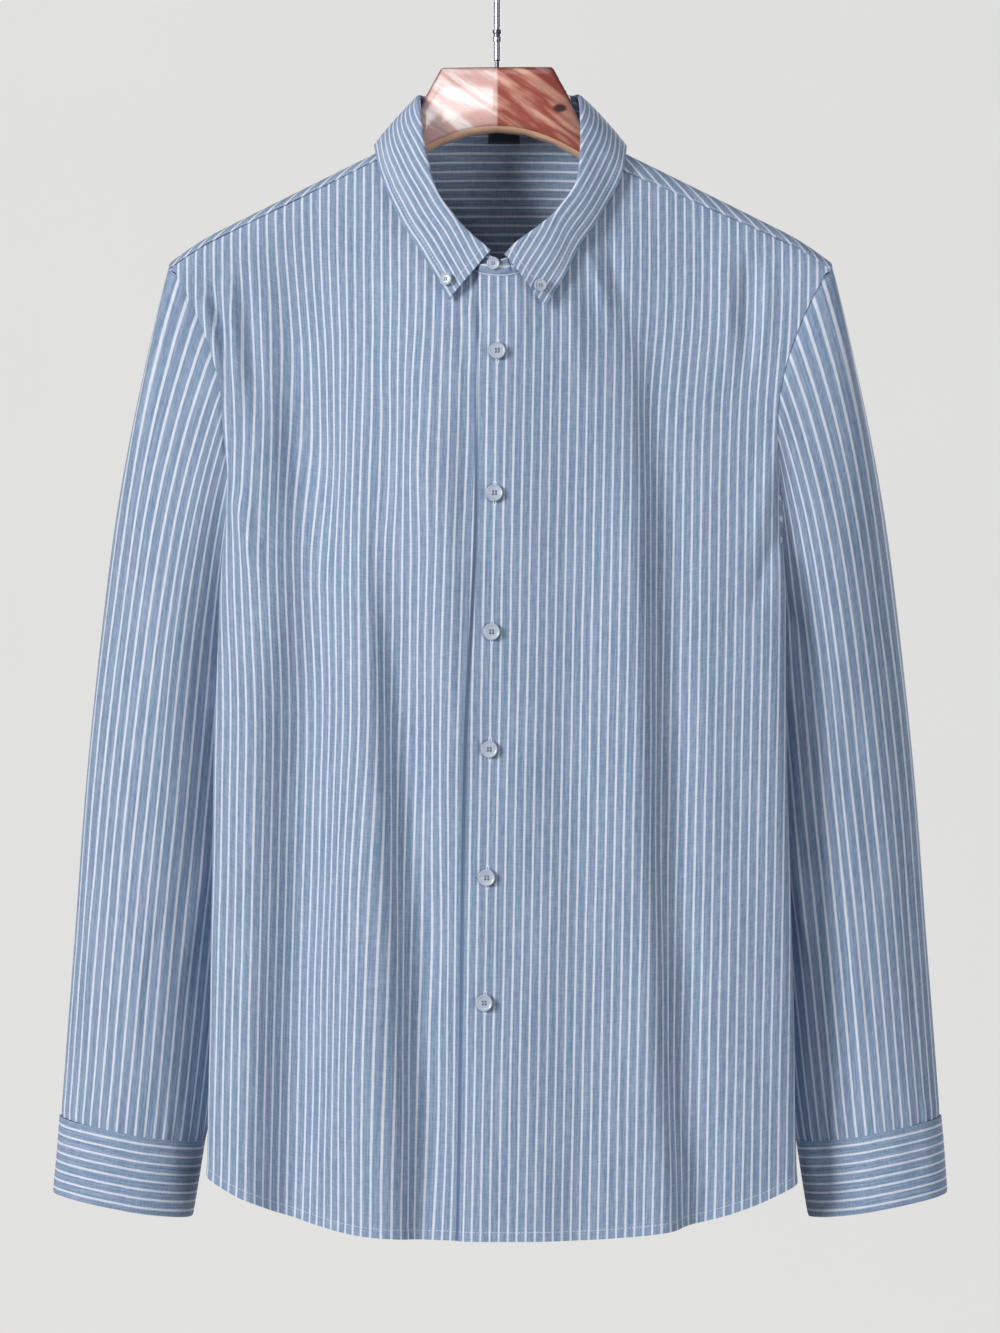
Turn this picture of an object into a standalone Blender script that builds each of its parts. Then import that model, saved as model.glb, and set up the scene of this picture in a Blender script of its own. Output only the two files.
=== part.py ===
"""A long-sleeved button-up shirt hanging on a wooden hanger.

Metres, +Z up, the shirt's front faces -Y, and the origin is the point inside the hook that rests on a rail.
The cloth is one body surface (fronts, back, yoke), two sleeves and a collar, all worked out from the sizes
below. Each sewn piece is a wall of cloth on its own stretch of those surfaces. Two pieces that meet at a seam
share the seam's points and lean, and stand SEAM apart. "left" and "right" are the wearer's, so left is at +X.
"""

import math

import bmesh
import bpy
import numpy as np
from mathutils import Matrix, Vector
from mathutils.geometry import tessellate_polygon

# Cloth
WALL = 0.0015
SEAM = 0.0003
LAP = WALL + SEAM  # from one layer's middle to the next one's
LIFT = 0.0021  # the same, where one layer lies loosely on another
CLOTH_SHIFT = 0.0025  # the shirt has slid this far along the hanger

# Shoulder ridge, the line that the hanger's arms carry
RIDGE_X = 0.0855
RIDGE_Z = -0.154
RIDGE_FALL = 0.5
RIDGE_SOFT = 0.010
TIP_X = 0.2345
TIP_ROUND_X = 0.200
TIP_ROUND = 4.5
ARM_DEPTH = 0.018  # half depth of the cloth just under the ridge, out on the arms
NECK_DEPTH = 0.040  # and at the neck
NECK_SPREAD = 0.075
CREST_ROUND = 0.78
SWELL = 0.34  # the cloth reaches its full depth this far below the ridge

# Neck seam
NECK_X = 0.070
NECK_Z = -0.1470
NECK_DROP = 0.0990

# Body: one row for each level. width is half of it, front and back are depths from its middle, and the sides
# lean in towards the back from a widest place at y = edge_y.
BODY_COLUMNS = ("z", "width", "front", "back", "edge_y", "side_slant", "centre_x")
BODY_ROWS = (
    (-0.110, 0.262, 0.083, 0.080, 0.000, 0.0, 0.0000),
    (-0.235, 0.256, 0.083, 0.082, -0.004, 1.0, 0.0000),
    (-0.290, 0.226, 0.084, 0.083, -0.026, 10.0, 0.0012),
    (-0.345, 0.1990, 0.085, 0.084, -0.046, 20.0, 0.0022),
    (-0.475, 0.1990, 0.086, 0.085, -0.048, 22.0, 0.0012),
    (-0.560, 0.2004, 0.085, 0.085, -0.047, 22.0, 0.0000),
    (-0.686, 0.2032, 0.083, 0.084, -0.046, 22.0, 0.0004),
    (-0.800, 0.2055, 0.080, 0.082, -0.045, 22.0, 0.0008),
    (-0.940, 0.2080, 0.078, 0.080, -0.044, 22.0, 0.0010),
)
FRONT_SLANT = 9.0
BACK_SLANT = 14.0
CORNERS = 16.0  # the higher, the sharper the turns between front, side and back

# Long soft folds. At each, the cloth steps back by "drop" from its proud side to the other.
FOLD_COLUMNS = ("face", "x_top", "x_middle", "x_low", "z_top", "z_low", "drop", "steep", "reach", "proud")
FOLD_ROWS = (
    ("front", -0.080, -0.081, -0.080, -0.370, -0.960, 0.013, 0.0085, 0.045, -1),
    ("front", 0.088, 0.103, 0.119, -0.240, -0.960, 0.011, 0.0085, 0.035, -1),
    ("front", 0.136, 0.150, 0.184, -0.440, -0.960, 0.009, 0.0090, 0.035, -1),
    ("back", -0.060, -0.072, -0.086, -0.300, -0.960, 0.011, 0.0100, 0.045, 1),
    ("back", 0.045, 0.060, 0.066, -0.330, -0.960, 0.010, 0.0100, 0.045, -1),
)
FOLD_GROWTH = 0.22  # a fold grows to its full depth over this length

# Closure
BUTTON_LINE_X = -0.0020
BUTTON_LINE_LEAN = -0.0195
BUTTON_LINE_TOP = -0.285
OVERLAP = 0.0160
SINK_RUN = 0.016  # the under front rises from below the overlap in this width

# Hem, armholes and yoke
HEM_Z = -0.921
HEM_RISE = 3.6
UNDERARM_Z = -0.475
CROSS_FRONT = (0.1950, -0.345)
CROSS_BACK = (0.1680, -0.360)
ARMHOLE_CURVE = 1.7
YOKE_FRONT = {-1: 0.0058, 1: 0.0150}  # how far the front seam lies below the ridge, by side
YOKE_TIP = {-1: 0.90, 1: 0.40}  # and the share of that at the shoulder's tip
YOKE_BACK_Z = -0.240
YOKE_BACK_CORNER_Z = -0.284
SHOULDER_STEPS = (0.0, 0.15, 0.31, 0.46, 0.60, 0.71, 0.80, 0.87, 0.935, 1.0)
NECK_STEPS = 6
FRONT_ARMHOLE_STEPS = 9
BACK_ARMHOLE_STEPS = 8
YOKE_ARMHOLE_STEPS = 6
BACK_STEPS = 8
SIDE_STEPS = 10

# Sleeve: where its outer and inner sides lie at each level, and its depth there
SLEEVE_COLUMNS = ("z", "outer", "inner", "middle_y", "half_depth", "square")
SLEEVE_ROWS = (
    (-0.200, 0.2250, 0.170, 0.000, 0.026, 1.90),
    (-0.246, 0.2390, 0.176, 0.001, 0.031, 1.85),
    (-0.3165, 0.2550, 0.176, 0.005, 0.040, 1.80),
    (-0.4017, 0.2710, 0.178, 0.012, 0.047, 1.75),
    (-0.4869, 0.2830, 0.1785, 0.018, 0.049, 1.70),
    (-0.6005, 0.2950, 0.1830, 0.020, 0.044, 1.70),
    (-0.720, 0.3040, 0.1945, 0.017, 0.037, 1.70),
    (-0.840, 0.3125, 0.2075, 0.011, 0.029, 1.80),
    (-0.910, 0.3180, 0.2190, 0.008, 0.026, 1.90),
)
CAP_REACH = 0.42  # the share of the sleeve's length over which it leaves the armhole's shape
SLEEVE_STEPS = 11
SLEEVE_SPREAD = 1.2  # the steps are shorter near the armhole
SLEEVE_CLEAR = 0.0034  # from the sleeve's middle to the body's
CUFF_SEAM_Z = -0.848
CUFF_HEIGHT = 0.0535
CUFF_TILT = 0.0085
CUFF_DIP = 0.003
CUFF_START = 16.6  # the cuff's outer end, in steps round the sleeve, at the back
CUFF_LAP = 1.7  # and how far its other end runs past it
CUFF_PLAY = 0.0002  # between its two ends, besides the seam's gap

# Sleeve placket
PLACKET_FROM = 16.2
PLACKET_TO = 17.8
PLACKET_LENGTH = 0.140
PLACKET_POINT = 0.016

# Collar, one row for each place along the neck seam, in degrees from the back's centre
COLLAR_COLUMNS = ("degrees", "x", "y", "z")
COLLAR_FOLD = {
    1: (
        (0, 0.0000, 0.0300, -0.1120),
        (30, 0.0275, 0.0270, -0.1120),
        (60, 0.0475, 0.0185, -0.1125),
        (90, 0.0545, 0.0035, -0.1150),
        (96, 0.0550, -0.0150, -0.1180),
        (101, 0.0555, -0.0250, -0.1290),
        (109, 0.0555, -0.0330, -0.1550),
        (118, 0.0525, -0.0395, -0.1785),
        (128, 0.0410, -0.0445, -0.1965),
        (142, 0.0268, -0.0485, -0.2100),
        (157, 0.0092, -0.0510, -0.2235),
        (166, 0.0025, -0.0520, -0.2310),
        (180, 0.0000, -0.0525, -0.2325),
        (194, -0.0160, -0.0530, -0.2360),
    ),
    -1: (
        (0, 0.0000, 0.0300, -0.1120),
        (30, 0.0275, 0.0270, -0.1120),
        (60, 0.0490, 0.0185, -0.1125),
        (90, 0.0568, 0.0035, -0.1150),
        (96, 0.0566, -0.0150, -0.1175),
        (101, 0.0558, -0.0250, -0.1270),
        (109, 0.0528, -0.0330, -0.1530),
        (118, 0.0448, -0.0395, -0.1835),
        (128, 0.0333, -0.0445, -0.2010),
        (142, 0.0214, -0.0485, -0.2150),
        (157, 0.0110, -0.0510, -0.2240),
        (166, 0.0062, -0.0520, -0.2285),
        (180, 0.0000, -0.0525, -0.2325),
        (194, -0.0160, -0.0530, -0.2360),
    ),
}
LEAF_COLUMNS = ("degrees", "x", "z", "face")
LEAF_EDGE = {
    1: (
        (0, 0.0000, -0.1600, 1),
        (30, 0.0300, -0.1605, 1),
        (60, 0.0600, -0.1625, 1),
        (80, 0.0810, -0.1590, 1),
        (90, 0.0865, -0.1546, 0),
        (98, 0.0862, -0.1640, -1),
        (108, 0.0822, -0.1795, -1),
        (119, 0.0693, -0.2020, -1),
        (132, 0.0547, -0.2240, -1),
        (148, 0.0438, -0.2460, -1),
        (166, 0.0300, -0.2690, -1),
    ),
    -1: (
        (0, 0.0000, -0.1600, 1),
        (30, 0.0300, -0.1605, 1),
        (60, 0.0600, -0.1625, 1),
        (80, 0.0810, -0.1590, 1),
        (90, 0.0865, -0.1546, 0),
        (98, 0.0855, -0.1650, -1),
        (108, 0.0795, -0.1840, -1),
        (119, 0.0683, -0.2075, -1),
        (132, 0.0540, -0.2305, -1),
        (148, 0.0430, -0.2500, -1),
        (166, 0.0348, -0.2645, -1),
    ),
}
LEAF_BULGE = 0.0028
LEAF_LIFT = 0.0050
# The leaf's turn over the stand, as steps out from the stand's top edge and up over it
ROLL = ((0.0000, 0.0003), (0.0006, 0.0021), (0.0021, 0.0025), (0.0033, 0.0007))
ROLL_HEIGHT = 0.0030
LEAF_STEPS = 3

# Buttons
FRONT_BUTTONS_Z = (-0.2998, -0.3995, -0.4958, -0.5776, -0.6669, -0.7541)
FRONT_BUTTON = 0.0059
COLLAR_BUTTON = 0.0044
COLLAR_BUTTONS = {-1: (-0.0374, -0.2490), 1: (0.0270, -0.2535)}
STAND_BUTTON = (-0.0051, -0.2375)
CUFF_BUTTON = 0.0050
BUTTON_THICK = 0.0022
BUTTON_PLAY = 0.0002
BUTTON_SIDES = 16
BUTTON_RIM = ((0.90, 0.0), (1.0, 0.25), (1.0, 0.75), (0.88, 1.0), (0.76, 0.97), (0.66, 0.72))
HOLE_RADIUS = 0.13
HOLE_OUT = 0.24
HOLE_SIDES = 5

# Label
LABEL_X = (-0.0093, 0.0137)
LABEL_Z = (-0.1462, -0.1320)
LABEL_THICK = 0.0006

# Hanger
WOOD_COLUMNS = ("x", "top", "bottom", "half_depth")
WOOD_ROWS = (
    (0.0000, -0.0950, -0.1410, 0.0150),
    (0.0200, -0.0950, -0.1432, 0.0148),
    (0.0385, -0.0951, -0.1492, 0.0138),
    (0.0403, -0.0966, -0.1500, 0.0136),
    (0.0525, -0.1185, -0.1563, 0.0117),
    (0.0590, -0.1335, -0.1605, 0.0108),
)
ARM_STATIONS = (0.0665, 0.080, 0.110, 0.140, 0.170, 0.195, 0.209, 0.2165, 0.2205)
ARM_HEIGHT = 0.0245
ARM_HALF_DEPTH = 0.0110
ARM_REST = 0.0032  # from the ridge of the cloth's middle down to the wood
ARM_ROUND = 0.012
WOOD_SIDES = 16
HANGER_TILT = 0.0083  # it has swung this much down towards the side that the shirt has slid from

# Hook
FERRULE_COLUMNS = ("radius", "z")
FERRULE = (
    (0.0016, -0.0947),
    (0.0016, -0.0902),
    (0.0023, -0.0898),
    (0.0023, -0.0764),
    (0.0029, -0.0761),
    (0.0029, -0.0732),
    (0.0024, -0.0729),
    (0.0024, -0.0709),
    (0.0031, -0.0704),
    (0.0031, -0.0682),
    (0.0020, -0.0678),
    (0.0020, -0.0668),
)
FERRULE_SIDES = 20
WIRE = 0.0023
WIRE_SIDES = 12
HOOK_INNER = 0.0180
HOOK_TIP = 200.0
HOOK_BACK = -50.0
HOOK_STEPS = 20
HOOK_NECK_Z = -0.0490
HOOK_FOOT_Z = -0.0665
HOOK_HANDLE = 0.007


def table(rows, names):
    """The columns of a table, as arrays by name."""
    return {name: np.array([row[i] for row in rows], float) for i, name in enumerate(names)}


def smooth(at, stations, values):
    """A smooth curve through a table's values, read at each place in "at"."""
    stations, values = np.asarray(stations, float), np.asarray(values, float)
    if stations[0] > stations[-1]:
        stations, values = stations[::-1], values[::-1]
    at = np.clip(np.asarray(at, float), stations[0], stations[-1])
    slopes = np.gradient(values, stations)
    low = np.clip(np.searchsorted(stations, at, side="right") - 1, 0, len(stations) - 2)
    span = stations[low + 1] - stations[low]
    part = (at - stations[low]) / span
    rise = part * part * (3 - 2 * part)
    start = part * (1 - part) ** 2 * span * slopes[low]
    end = part * part * (part - 1) * span * slopes[low + 1]
    return values[low] * (1 - rise) + values[low + 1] * rise + start + end


def ramp(value):
    """0 up to 0 and 1 from 1 on, with an even turn between."""
    part = np.clip(value, 0.0, 1.0)
    return part * part * (3 - 2 * part)


def unit(vectors):
    length = np.linalg.norm(vectors, axis=-1, keepdims=True)
    return vectors / np.maximum(length, 1e-12)


# --- The body's surface -------------------------------------------------------------------------------------


def ridge_z(x):
    out = np.sqrt(np.square(x) + RIDGE_SOFT**2)
    return RIDGE_Z - RIDGE_FALL * (out - RIDGE_X) - TIP_ROUND * np.maximum(out - TIP_ROUND_X, 0) ** 2


def button_line(z):
    return BUTTON_LINE_X + BUTTON_LINE_LEAN * np.maximum(BUTTON_LINE_TOP - np.asarray(z), 0)


def sink(side, out, z):
    """How far the under front and the stand's under end lie behind the upper ones, "out" from the centre."""
    if side > 0:
        return np.zeros(np.broadcast(out, z).shape)
    covered = OVERLAP - button_line(z)
    return LIFT * (1 - ramp((out - covered - 0.001) / SINK_RUN))


def fold_offset(face, x, z):
    """How far the folds of one face move the cloth outwards at x, z."""
    total = np.zeros(np.broadcast(x, z).shape)
    for row in FOLD_ROWS:
        fold = dict(zip(FOLD_COLUMNS, row))
        if fold["face"] != face:
            continue
        stations = (fold["z_top"], (fold["z_top"] + fold["z_low"]) / 2, fold["z_low"])
        line = smooth(z, stations, (fold["x_top"], fold["x_middle"], fold["x_low"]))
        across = x - line
        grown = ramp((fold["z_top"] - z) / FOLD_GROWTH)
        step = np.tanh(across / fold["steep"]) * np.exp(-((across / fold["reach"]) ** 2))
        total = total + fold["proud"] * step * grown * fold["drop"] / 2
    return total


class Body:
    """The closed outline of the body at many levels, and the cloth measured along it from a face's centre.

    An outline has five flat faces with rounded corners: two fronts that meet in a low crown, a side that
    leans in towards the back and leaves room for the sleeve, and two backs.
    """

    LEVELS = 400
    TURN = 361
    GRID = 400

    def __init__(self):
        rows = table(BODY_ROWS, BODY_COLUMNS)
        self.z = np.linspace(rows["z"].min(), rows["z"].max(), self.LEVELS)
        at = {name: smooth(self.z, rows["z"], rows[name]) for name in BODY_COLUMNS[1:]}
        angle = np.radians(np.linspace(-90, 90, self.TURN))
        reach = self.outline(angle, at)
        half_x = reach * np.cos(angle)
        half_y = reach * np.sin(angle)
        half_x *= (at["width"] / half_x.max(axis=1))[:, None]
        half_x[:, 0] = half_x[:, -1] = 0.0
        self.by_share, self.by_x, self.total = {}, {}, {}
        self.widest = np.linspace(0, 0.27, self.GRID)
        middle = self.TURN // 2
        for side in (-1, 1):
            x = side * half_x + at["centre_x"][:, None] * ramp(half_x / 0.1)
            out = np.where(angle < 0, fold_offset("front", x, self.z[:, None]),
                           fold_offset("back", x, self.z[:, None]))
            y = half_y + np.sign(half_y) * out * ramp((np.abs(half_y) - 0.018) / 0.03)
            for face, part in (("front", slice(0, middle + 1)), ("back", slice(None, middle - 1, -1))):
                self.keep(face, side, x[:, part], y[:, part])

    @staticmethod
    def outline(angle, at):
        """The outline's distance from the middle in each direction, at each level."""
        front, side, back = (np.radians(a) for a in (FRONT_SLANT, at["side_slant"], BACK_SLANT))
        faces = (
            (np.sin(front), -np.cos(front), at["front"] * np.cos(front)),
            (-np.sin(front), -np.cos(front), at["front"] * np.cos(front)),
            (np.cos(side), np.sin(side), at["width"] * np.cos(side) + at["edge_y"] * np.sin(side)),
            (np.sin(back), np.cos(back), at["back"] * np.cos(back)),
            (-np.sin(back), np.cos(back), at["back"] * np.cos(back)),
        )
        total = 0.0
        for across, along, distance in faces:
            across, along = np.atleast_1d(across)[:, None], np.atleast_1d(along)[:, None]
            towards = np.maximum(across * np.cos(angle) + along * np.sin(angle), 0)
            total = total + (towards / distance[:, None]) ** CORNERS
        return total ** (-1 / CORNERS)

    def keep(self, face, side, xs, ys):
        """Stores a quarter of each outline, evenly by its share of the cloth and evenly by x."""
        steps = np.hypot(np.diff(xs, axis=1), np.diff(ys, axis=1))
        arc = np.concatenate([np.zeros((len(xs), 1)), np.cumsum(steps, axis=1)], axis=1)
        even = np.linspace(0, 1, self.GRID)
        key = (face, side)
        self.total[key] = arc[:, -1]
        self.by_share[key] = [
            np.array([np.interp(even, a / a[-1], v) for a, v in zip(arc, values)]) for values in (xs, ys)
        ]
        ends = [int(np.argmax(side * x)) + 1 for x in xs]
        self.by_x[key] = [
            np.array([np.interp(self.widest, side * x[:n], v[:n]) for x, v, n in zip(xs, values, ends)])
            for values in (ys, arc)
        ]

    def read(self, stored, z, share):
        """A stored table's value at level z and at a share of its width, between its four nearest entries."""
        row = (np.clip(z, self.z[0], self.z[-1]) - self.z[0]) / (self.z[1] - self.z[0])
        col = np.clip(share, 0, 1) * (self.GRID - 1)
        r0 = np.clip(row.astype(int), 0, self.LEVELS - 2)
        c0 = np.clip(col.astype(int), 0, self.GRID - 2)
        fr, fc = row - r0, col - c0
        low = stored[r0, c0] * (1 - fc) + stored[r0, c0 + 1] * fc
        high = stored[r0 + 1, c0] * (1 - fc) + stored[r0 + 1, c0 + 1] * fc
        return low * (1 - fr) + high * fr

    def seam_arc(self, face, side, z):
        """The cloth from a face's centre to the side seam."""
        return np.interp(z, self.z, self.total[(face, side)])

    def at_arc(self, face, side, arc, z):
        """Points at a cloth distance from the centre of one face, towards a side where it is positive."""
        arc, z = np.broadcast_arrays(np.asarray(arc, float), np.asarray(z, float))
        sides = np.where(arc < 0, -side, side)
        points = np.zeros(arc.shape + (3,))
        for this in (-1, 1):
            share = np.abs(arc) / self.seam_arc(face, this, z)
            x, y = (self.read(stored, z, share) for stored in self.by_share[(face, this)])
            here = sides == this
            points[here] = np.stack([x, self.depth(x, y, z), z], -1)[here]
        return points

    def at_x(self, face, x, z):
        """Points at x on one face, up to its widest place."""
        x, z = np.broadcast_arrays(np.asarray(x, float), np.asarray(z, float))
        points = np.zeros(x.shape + (3,))
        for this in (-1, 1):
            y = self.read(self.by_x[(face, this)][0], z, np.abs(x) / self.widest[-1])
            here = (x >= 0) == (this > 0)
            points[here] = np.stack([x, self.depth(x, y, z), z], -1)[here]
        return points

    def arc_at_x(self, face, side, x, z):
        x, z = np.broadcast_arrays(np.asarray(x, float), np.asarray(z, float))
        return self.read(self.by_x[(face, side)][1], z, np.abs(x) / self.widest[-1])

    @staticmethod
    def depth(x, y, z):
        """The outline's y, drawn in under the ridge, where the cloth lies over the hanger's arms."""
        below = np.maximum(ridge_z(x) - z, 0)
        near = ARM_DEPTH + (NECK_DEPTH - ARM_DEPTH) * np.exp(-((x / NECK_SPREAD) ** 2))
        crest = near * np.tanh(np.sqrt(2 * CREST_ROUND * near * below) / near)
        full = ramp(below / SWELL)
        face = y / np.sqrt(y * y + 0.008**2)
        return y * full + face * (crest - near * full)

    def over_ridge(self, x, roll):
        """Points by x and roll, which is the root of the depth below the ridge, negative in front."""
        x, roll = np.broadcast_arrays(np.asarray(x, float), np.asarray(roll, float))
        z = ridge_z(x) - roll * roll
        front, back = self.at_x("front", x, z), self.at_x("back", x, z)
        return np.where((roll < 0)[..., None], front, back)

    def lean_over_ridge(self, x, roll):
        """The outward direction at the same places."""
        step = 0.002
        along_x = self.over_ridge(x + step, roll) - self.over_ridge(x - step, roll)
        along_roll = self.over_ridge(x, roll + step) - self.over_ridge(x, roll - step)
        return unit(np.cross(along_x, along_roll))


# --- Walls of cloth -----------------------------------------------------------------------------------------


class Sheet:
    """A grid of points on a cloth's middle, rows by columns, with its outward direction at each."""

    def __init__(self, points, outwards=1, closed=False):
        self.points = np.asarray(points, float)
        self.closed = closed
        down = np.gradient(self.points, axis=0)
        if closed:
            across = np.roll(self.points, -1, axis=1) - np.roll(self.points, 1, axis=1)
        else:
            across = np.gradient(self.points, axis=1)
        self.normals = unit(np.cross(across, down)) * outwards

    def pull_in(self, rows=(), columns=()):
        """Draws the border's points in from the seam's line, square to it, by half the seam's gap."""
        points = self.points.copy()
        moves = []
        for edge in rows:
            inner = 1 if edge == 0 else -2
            moves.append(((edge, slice(None)), points[edge], points[inner]))
        for edge in columns:
            inner = 1 if edge == 0 else -2
            moves.append(((slice(None), edge), points[:, edge], points[:, inner]))
        for at, border, inner in moves:
            if self.closed:
                along = unit(np.roll(border, -1, axis=0) - np.roll(border, 1, axis=0))
            else:
                along = unit(np.gradient(border, axis=0))
            inwards = inner - border
            inwards = unit(inwards - along * np.sum(inwards * along, -1, keepdims=True))
            self.points[at] += inwards * SEAM / 2

    def between(self, row, col):
        """The point and outward direction at a place between the grid's points."""
        rows, cols = self.points.shape[:2]
        r0 = min(max(int(row), 0), rows - 2)
        c0 = int(col) if self.closed else min(max(int(col), 0), cols - 2)
        fr, fc = row - r0, col - c0
        found = []
        for values in (self.points, self.normals):
            low = values[r0, c0 % cols] * (1 - fc) + values[r0, (c0 + 1) % cols] * fc
            high = values[r0 + 1, c0 % cols] * (1 - fc) + values[r0 + 1, (c0 + 1) % cols] * fc
            found.append(low * (1 - fr) + high * fr)
        return found[0], unit(found[1])

    def nearest(self, x, z, rows, columns):
        """The place in a range of rows and columns that lies nearest to x, z."""
        spans = [rows, columns]
        for _ in range(4):
            best = None
            for row in np.linspace(*spans[0], 31):
                for col in np.linspace(*spans[1], 31):
                    point = self.between(row, col)[0]
                    miss = (point[0] - x) ** 2 + (point[2] - z) ** 2
                    if best is None or miss < best[0]:
                        best = (miss, row, col)
            # The next look is at a tenth of the range, about the best place so far
            for i, whole in enumerate((rows, columns)):
                half = (spans[i][1] - spans[i][0]) / 20
                middle = min(max(best[i + 1], whole[0] + half), whole[1] - half)
                spans[i] = (middle - half, middle + half)
        return self.between(*best[1:])


def share_lean(*places):
    """Gives sheets that meet at a seam one direction at each point, so that their edges stay parallel."""
    both = unit(sum(sheet.normals[at] for sheet, at in places))
    for sheet, at in places:
        sheet.normals[at] = both


def material(name, colour, roughness, metallic=0.0):
    made = bpy.data.materials.new(name)
    made.use_nodes = True
    shader = made.node_tree.nodes["Principled BSDF"]
    shader.inputs["Base Color"].default_value = (*colour, 1.0)
    shader.inputs["Roughness"].default_value = roughness
    shader.inputs["Metallic"].default_value = metallic
    return made


def add_object(name, shell, surface, shift=CLOTH_SHIFT):
    """Adds a finished mesh to the scene, shaded smooth but for its sharp edges."""
    bmesh.ops.recalc_face_normals(shell, faces=shell.faces)
    mesh = bpy.data.meshes.new(name)
    shell.to_mesh(mesh)
    shell.free()
    mesh.materials.append(surface)
    mesh.shade_smooth()
    mesh.set_sharp_from_angle(angle=math.radians(40))
    made = bpy.data.objects.new(name, mesh)
    made.location.x = shift
    bpy.context.scene.collection.objects.link(made)
    return made


def wall(name, sheet, surface, thickness=WALL):
    """A closed wall of cloth on both sides of a sheet."""
    rows, columns = sheet.points.shape[:2]
    shell = bmesh.new()
    outer, inner = (
        [[shell.verts.new(p) for p in row] for row in sheet.points + sheet.normals * way * thickness / 2]
        for way in (1, -1)
    )
    last = columns if sheet.closed else columns - 1
    for c in range(last):
        n = (c + 1) % columns
        for r in range(rows - 1):
            shell.faces.new((outer[r][c], outer[r][n], outer[r + 1][n], outer[r + 1][c]))
            shell.faces.new((inner[r + 1][c], inner[r + 1][n], inner[r][n], inner[r][c]))
        shell.faces.new((outer[0][n], outer[0][c], inner[0][c], inner[0][n]))
        shell.faces.new((outer[-1][c], outer[-1][n], inner[-1][n], inner[-1][c]))
    if not sheet.closed:
        for r in range(rows - 1):
            shell.faces.new((outer[r][0], outer[r + 1][0], inner[r + 1][0], inner[r][0]))
            shell.faces.new((outer[r + 1][-1], outer[r][-1], inner[r][-1], inner[r + 1][-1]))
    return add_object(name, shell, surface)


# --- Body pieces --------------------------------------------------------------------------------------------


def neck_drop(degrees):
    return NECK_Z + NECK_DROP * np.minimum(np.cos(np.radians(degrees)), 0)


def neck_points(body, side, degrees):
    """The neck seam at places given in degrees from the back's centre, going to one side."""
    degrees = np.asarray(degrees, float)
    out = NECK_X * np.sin(np.radians(degrees))
    z = neck_drop(degrees)
    front, back = body.at_x("front", side * out, z), body.at_x("back", side * out, z)
    points = np.where((degrees > 90)[:, None], front, back)
    points[:, 1] += np.where(degrees > 90, sink(side, out, z), 0)
    return points


def yoke_corner(side):
    """Where the front yoke seam meets the neck seam, in degrees."""
    return math.degrees(math.pi - math.acos((YOKE_FRONT[side] + 0.0006) / NECK_DROP))


def lap_degrees():
    return 180 + math.degrees(math.asin(OVERLAP / NECK_X))


def back_neck_degrees(side):
    """Neck places along the yoke, from the front corner to the back's centre."""
    corner = yoke_corner(side)
    return np.append((corner, (corner + 90) / 2), np.linspace(90, 0, YOKE_ARMHOLE_STEPS + BACK_STEPS - 1))


def front_neck_degrees(side):
    """Neck places along a front, from the end of its overlap to the yoke's corner."""
    return np.append(lap_degrees(), np.linspace(180, yoke_corner(side), NECK_STEPS + 1))


def front_yoke_seam(side):
    """The seam between a front and the yoke, by x and roll, from the neck out."""
    steps = np.array(SHOULDER_STEPS)
    corner = yoke_corner(side)
    x = NECK_X * math.sin(math.radians(corner))
    start = -math.sqrt(ridge_z(x) - neck_drop(corner))
    end = -math.sqrt(YOKE_FRONT[side] * YOKE_TIP[side])
    return x + steps * (TIP_X - x), start + steps * (end - start)


def back_armhole_x(z):
    cross_x, cross_z = CROSS_BACK
    part = (z - cross_z) / (ridge_z(TIP_X) - cross_z)
    return cross_x + (TIP_X - cross_x) * part**ARMHOLE_CURVE


def yoke_armhole(side):
    """The armhole's line on the yoke, by x and roll, from its front corner to its back one."""
    cross_x, cross_z = CROSS_BACK
    corner_x = back_armhole_x(YOKE_BACK_CORNER_Z)
    steps = np.linspace(0, 1, YOKE_ARMHOLE_STEPS - 1)
    x = TIP_X - (TIP_X - corner_x) * steps**2
    part = ((x - cross_x) / (TIP_X - cross_x)) ** (1 / ARMHOLE_CURVE)
    z = cross_z + (ridge_z(TIP_X) - cross_z) * part
    roll = np.sqrt(np.maximum(ridge_z(x) - z, 0))
    front = -math.sqrt(YOKE_FRONT[side] * YOKE_TIP[side])
    return np.append((TIP_X, TIP_X), x), np.append((front, front * 0.55), roll)


def back_yoke_seam():
    """The seam between the back and the yoke, by x and level, from the centre to the armhole."""
    corner_x = back_armhole_x(YOKE_BACK_CORNER_Z)
    x = np.linspace(0, corner_x, BACK_STEPS + 1)
    return x, YOKE_BACK_Z + (YOKE_BACK_CORNER_Z - YOKE_BACK_Z) * (x / corner_x) ** 2


def side_hem_z(body, side):
    return HEM_Z + HEM_RISE * float(body.seam_arc("front", side, HEM_Z + 0.05)) ** 3


def hem_z(body, side, share):
    """The shirt-tail hem: low at the centres and high at the side seams."""
    return HEM_Z + (side_hem_z(body, side) - HEM_Z) * np.abs(share) ** 3


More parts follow.
